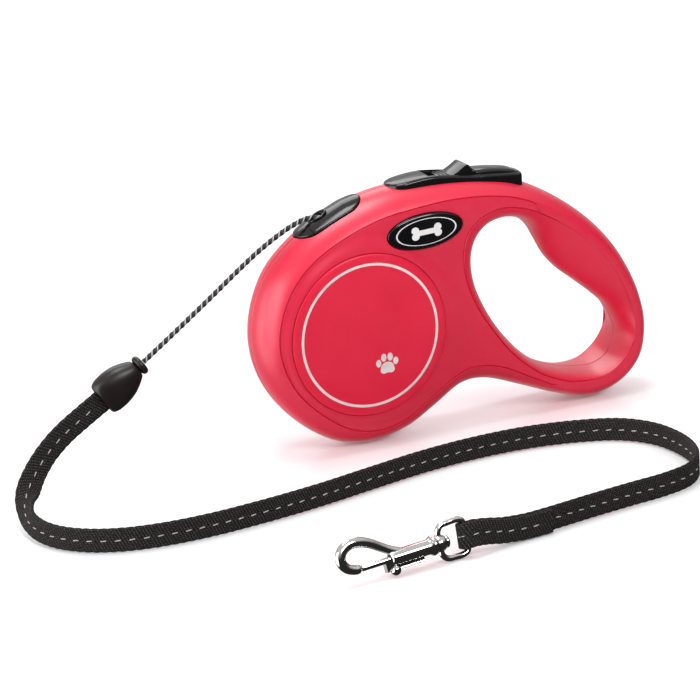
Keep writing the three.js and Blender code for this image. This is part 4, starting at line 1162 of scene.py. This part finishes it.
def band(stations, name, *replaces):
    """A woven band with rounded, slightly scalloped edges."""
    section = strap_section()
    scallop_pitch, scallop_depth, plain_half, edge = 3.1, 0.2, 3.6, 0.9
    back_face = 20  # V is moved on by this much on the back, so that the two faces don't share a weave
    rings, uvs = [], []
    for p, up, out, s in zip(*stations):
        scallop = scallop_depth * (1 - abs(math.cos(math.pi * s / scallop_pitch)))
        ring = []
        for w, t in section:
            w -= math.copysign(scallop * max(0.0, (abs(w) - plain_half) / edge), w)
            ring.append(p + up * w + out * t)
            uvs.append((s, w + (back_face if t < 0 else 0)))
        rings.append(ring)
    return finished(solid(skin(rings), name, uvs), name, WEBBING, "housing", 50, "strap_black", *replaces)


WEBBING = webbing_material()
strap_rows = [tuple(c / MM for c in row[:3]) + row[3:] for row in STRAP_ROUTE]
# The strap starts 2.6 mm inside the stopper.
inside_stopper = np.array(strap_rows[0], float)
inside_stopper[:3] += np.array((0.868, 0.05, 0.494)) * 2.6
STATIONS = band_frames([inside_stopper] + strap_rows + fold_rows(FOLD_OUT + FOLD_BACK))
bar_side = np.array(fold_rows(FOLD_OUT[-1:])[0][:3])
fold_at = int(np.argmin(np.linalg.norm(STATIONS[0] - bar_side, axis=1)))
strap = band([block[: fold_at + 1] for block in STATIONS], "strap_webbing_run", "strap")
strap_fold = band([block[fold_at:] for block in STATIONS], "strap_fold")


def capsule(a, b, radius):
    """A short rounded thread from a to b."""
    d = (b - a) / np.linalg.norm(b - a)
    u = np.cross(d, np.array((0.3, 0.2, 1.0)))
    u /= np.linalg.norm(u)
    v = np.cross(d, u)
    rows = [(a - d * radius * 0.9, 0.35), (a - d * radius * 0.55, 0.8), (a, 1), ((a + b) / 2, 1.06), (b, 1)]
    rows += [(b + d * radius * 0.55, 0.8), (b + d * radius * 0.9, 0.35)]
    return skin([[p + (u * c + v * s) * radius * size for c, s in circle(8)] for p, size in rows])


def stitches():
    """A pale running thread along the middle of the strap, seen as dashes on both faces."""
    pitch, dash, slant, sunk = 5.0, 1.7, 0.12, 0.02
    *blocks, at = STATIONS

    def end(s, offset, face):
        place = s + offset
        p, up, out = (np.array([np.interp(place, at, block[:, k]) for k in range(3)]) for block in blocks)
        return p + up * (slant * offset) + out * face * (STRAP_THICKNESS / 2 + sunk)

    parts = []
    for s in np.arange(9.0, at[-1] - 3, pitch):
        for face, shift in ((1, 0.0), (-1, pitch / 2)):
            parts.append(capsule(end(s + shift, -dash / 2, face), end(s + shift, dash / 2, face), 0.2))
    return finished(solid(merge(parts)), "strap_stitches", thread_material(), "housing", 60, "strap_black")


strap_stitches = stitches()

# ------------------------------------------------------------------ snap hook
# Its own frame: X along the barrel from the swivel to the nose, Z up, Y across.
RING_PLACE = SWIVEL_PLACE @ Matrix.Rotation(RING_TILT, 4, "X")
HOOK_PLACE = SWIVEL_PLACE @ Matrix.Rotation(HOOK_ROLL, 4, "X")


def turned(profile, place, sides):
    """Rows of (radius, x) turned about the X axis of a frame."""
    rows = [(max(radius, 0.01), x) for radius, x in profile]
    return moved(skin([[(x, r * c, r * s) for c, s in circle(sides)] for r, x in rows]), place)


def across_y(p, d, wide, thick, sides):
    """A ring round a path in the XZ plane: its width along Y, its thickness square to the path."""
    side = np.array((0.0, 1.0, 0.0))
    lift = np.cross(side, d)
    return [p + side * (wide * c) + lift * (thick * s) for c, s in circle(sides)]


def hook_body():
    """The barrel with its peened stem and collar, and the claw that curves round to the bolt."""
    profile = [(0, -5.4), (1.3, -5.4), (1.7, -5.3), (2.1, -5.0), (2.3, -4.7), (2.3, -4.1), (2.15, -3.85)]
    profile += [(1.5, -3.72), (1.27, -3.66), (1.25, -3.5), (1.25, 0), (2.7, 0), (3.1, 0.1), (3.4, 0.4)]
    profile += [(3.52, 0.85), (3.4, 1.4), (3.1, 1.75), (2.86, 2.05), (2.74, 2.6), (2.7, 3.2), (2.7, 16.6)]
    profile += [(2.62, 17.0), (2.4, 17.3), (2.05, 17.5), (0, 17.5)]
    barrel = solid(turned(profile, HOOK_PLACE, 72))
    spine = [(13.5, 0, 1.5), (16.5, 0, 2.9), (19.8, 0, 4.9), (23.4, 0, 7.2), (27.4, 0, 8.8), (31.4, 0, 8.9)]
    spine += [(34.4, 0, 7.1), (35.4, 0, 4.3), (34.0, 0, 1.6), (31.4, 0, 0.3), (29.1, 0, 0)]
    path, lengths = even(spline(spine, 12), 0.3)
    total = lengths[-1]
    rings = []
    for p, d, s in zip(path, tangents(path), lengths):
        thick = 1.6 * (1 + 0.22 * math.exp(-(((s / total - 0.62) / 0.25) ** 2)))
        wide = 1.6 * (1 - 0.24 * math.exp(-(((s / total - 0.2) / 0.16) ** 2)))
        past = s - total + 1.2
        tip = 1.0 if past < 0 else math.sqrt(max(0.0, 1 - (past / 1.22) ** 2)) * 0.35 + 0.65
        rings.append(across_y(p, d, wide * tip, thick * tip, 32))
    join(barrel, moved(skin(rings), HOOK_PLACE))
    cut(barrel, turned([(0, 2), (1.6, 2), (1.6, 22), (0, 22)], HOOK_PLACE, 40))
    cut(barrel, turned([(0, 17), (1.4, 17), (1.4, 29.0), (0, 29.0)], HOOK_PLACE, 40))
    cut(barrel, moved(box((5.4, -1.1, -4), (20, 1.1, 0)), HOOK_PLACE))
    bevel(barrel, 0.12, 2, 50)
    return finished(barrel, "hook_forging", CHROME, "hook", 38, "hook_chrome", "hook_body")


def hook_bolt():
    """The sliding pin and its thumb ball, which stands up through the barrel's slot."""
    rows = [(0, 12.8), (0.9, 12.8), (1.1, 13.0), (1.1, 28.3), (1.02, 28.5), (0.8, 28.66), (0, 28.7)]
    pin = solid(turned(rows, HOOK_PLACE, 40))
    upright = HOOK_PLACE @ Matrix.Translation((16.4, 0, 0)) @ Matrix.Rotation(math.pi / 2, 4, "Y")
    neck = [(0, -0.4), (0.75, -0.4), (0.75, 2.1), (0.95, 2.3), (1.3, 2.52)]
    centre, radius, steps = 4.0, 1.9, 24
    arc = [math.pi * k / steps for k in range(steps + 1)]
    ball = [(radius * math.sin(a), centre - radius * math.cos(a)) for a in arc]
    join(pin, turned(neck + [row for row in ball if row[1] > 2.8], upright, 48))
    return finished(pin, "bolt_with_ball", CHROME, "bolt", 40, "hook_chrome", "hook_bolt")


def swivel_ring():
    """The cast D ring, its boss and the bore that the hook's stem turns in."""
    half = [(-2.0, 1.6), (-2.1, 3.9), (-3.6, 5.7), (-6.6, 6.1), (-10.2, 6.1), (-12.0, 5.3), (-12.4, 3.4)]
    half += [(-12.4, 1.2)]
    loop = [(x, 0, z) for x, z in half] + [(x, 0, -z) for x, z in reversed(half)]
    path, _ = even(np.vstack([spline(loop, 10, True), [loop[0]]]), 0.35)
    path = path[:-1]
    along = np.roll(path, -1, 0) - np.roll(path, 1, 0)
    along /= np.linalg.norm(along, axis=1)[:, None]
    rings = [across_y(p, d, 1.1, 1.1, 24) for p, d in zip(path, along)]
    ring = solid(moved(skin(rings, closed=True), RING_PLACE))
    boss_rows = [(0, -3.4), (2.3, -3.4), (2.75, -3.2), (2.92, -2.8), (2.92, -1.0), (2.75, -0.55), (2.3, -0.3)]
    join(ring, turned(boss_rows + [(0, -0.3)], RING_PLACE, 56))
    cut(ring, turned([(0, -8), (1.55, -8), (1.55, 2), (0, 2)], RING_PLACE, 40))
    return finished(ring, "swivel_d_ring", CHROME, "housing", 40, "hook_chrome", "swivel_eye")


hook_forging = hook_body()
bolt_with_ball = hook_bolt()
swivel_d_ring = swivel_ring()


# ------------------------------------------------------------------ screws and inner parts
def screw(number, x, z):
    """A pan-head screw with a cross recess, seen from behind."""
    rows = [(0, -7.5), (0.3, -7.4), (0.9, -6.4)]
    y, pitch = -6.2, 0.62
    while y < 3.6:
        rows += [(1.0, y), (1.25, y + 0.22), (1.0, y + 0.44)]
        y += pitch
    rows += [(1.0, 4.2), (1.2, 5.1), (1.9, 5.2), (2.45, 5.2), (2.6, 5.4), (2.6, 5.9), (2.48, 6.3)]
    rows += [(2.15, 6.65), (1.6, 6.9), (0.9, 7.0), (0, 7.0)]
    body = solid(lathe(rows, x, z, 40))
    for half_x, half_z in ((0.28, 1.35), (1.35, 0.28)):
        cut(body, box((x - half_x, 6.0, z - half_z), (x + half_x, 8, z + half_z)))
    node = "housing_screw_%d" % number
    finished(body, "screw_%d" % number, STEEL, "housing", 35, "screw_steel", node)


for number, (x, z) in enumerate(SCREWS, 1):
    screw(number, x, z)


def wound_material():
    """The cord wound on the drum: fine turns side by side."""
    n = Nodes("wound_cord")
    where = n.object_coords()
    cord_thickness = 0.002
    turns = n.math("SINE", n.math("MULTIPLY", n.split(where)[1], math.pi / cord_thickness))
    turns = n.math("ABSOLUTE", turns)
    fibre = n.noise(where, 900.0, 3.0, 0.6)
    colour = n.ramp(fibre, (0.35, (0.008, 0.008, 0.008)), (0.75, (0.05, 0.05, 0.05)))
    normal = n.bump(fibre, 0.3, 0.0001, n.bump(turns, 0.9, 0.0006))
    return n.finish(colour, 0.6, normal, Sheen_Weight=0.1)


def dress_cad(material, *names):
    """Gives CAD solids that stay visible a material of this script."""
    for name in names:
        mesh = frame["nodes"][name].data
        mesh.materials.clear()
        mesh.materials.append(material)


def coil_spring(name, node, body, place, low, high, radius, wire, turns):
    """A compression spring along its frame's Z, with closed ends."""
    steps = 24
    points = []
    for i, (c, s) in enumerate(circle(steps) * turns + circle(steps)[:1]):
        t = min(max((i / (turns * steps) - 0.04) / 0.92, 0), 1)
        rise = t - 0.12 * math.sin(2 * math.pi * t) / (2 * math.pi)
        points.append((radius * c, radius * s, low + wire + (high - low - 2 * wire) * rise))
    coil = moved(skin(tube(points, wire, 10, first=(0, 0, 1))[0]), place)
    spring = finished(solid(coil), name, SPRING, body, 60, "spring_steel", node)
    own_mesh(spring)


UNDER_BUTTON = Matrix.Translation((25, 0, 0))
IN_BARREL = HOOK_PLACE @ Matrix.Rotation(math.pi / 2, 4, "Y")
coil_spring(
    "button_spring", "brake_spring", "housing",
    UNDER_BUTTON, low=80.4, high=88.3, radius=2.0, wire=0.28, turns=5,
)
coil_spring(
    "nose_spring", "bolt_spring", "hook",
    IN_BARREL, low=2.3, high=12.5, radius=1.1, wire=0.2, turns=7,
)
dress_cad(ACETAL, "brake_pawl")
dress_cad(SPRING, "mainspring")
dress_cad(DRUM_GREY, "drum", "drum_flange", "spring_cover")
dress_cad(STEEL, "axle")
dress_cad(wound_material(), "cord_winding")
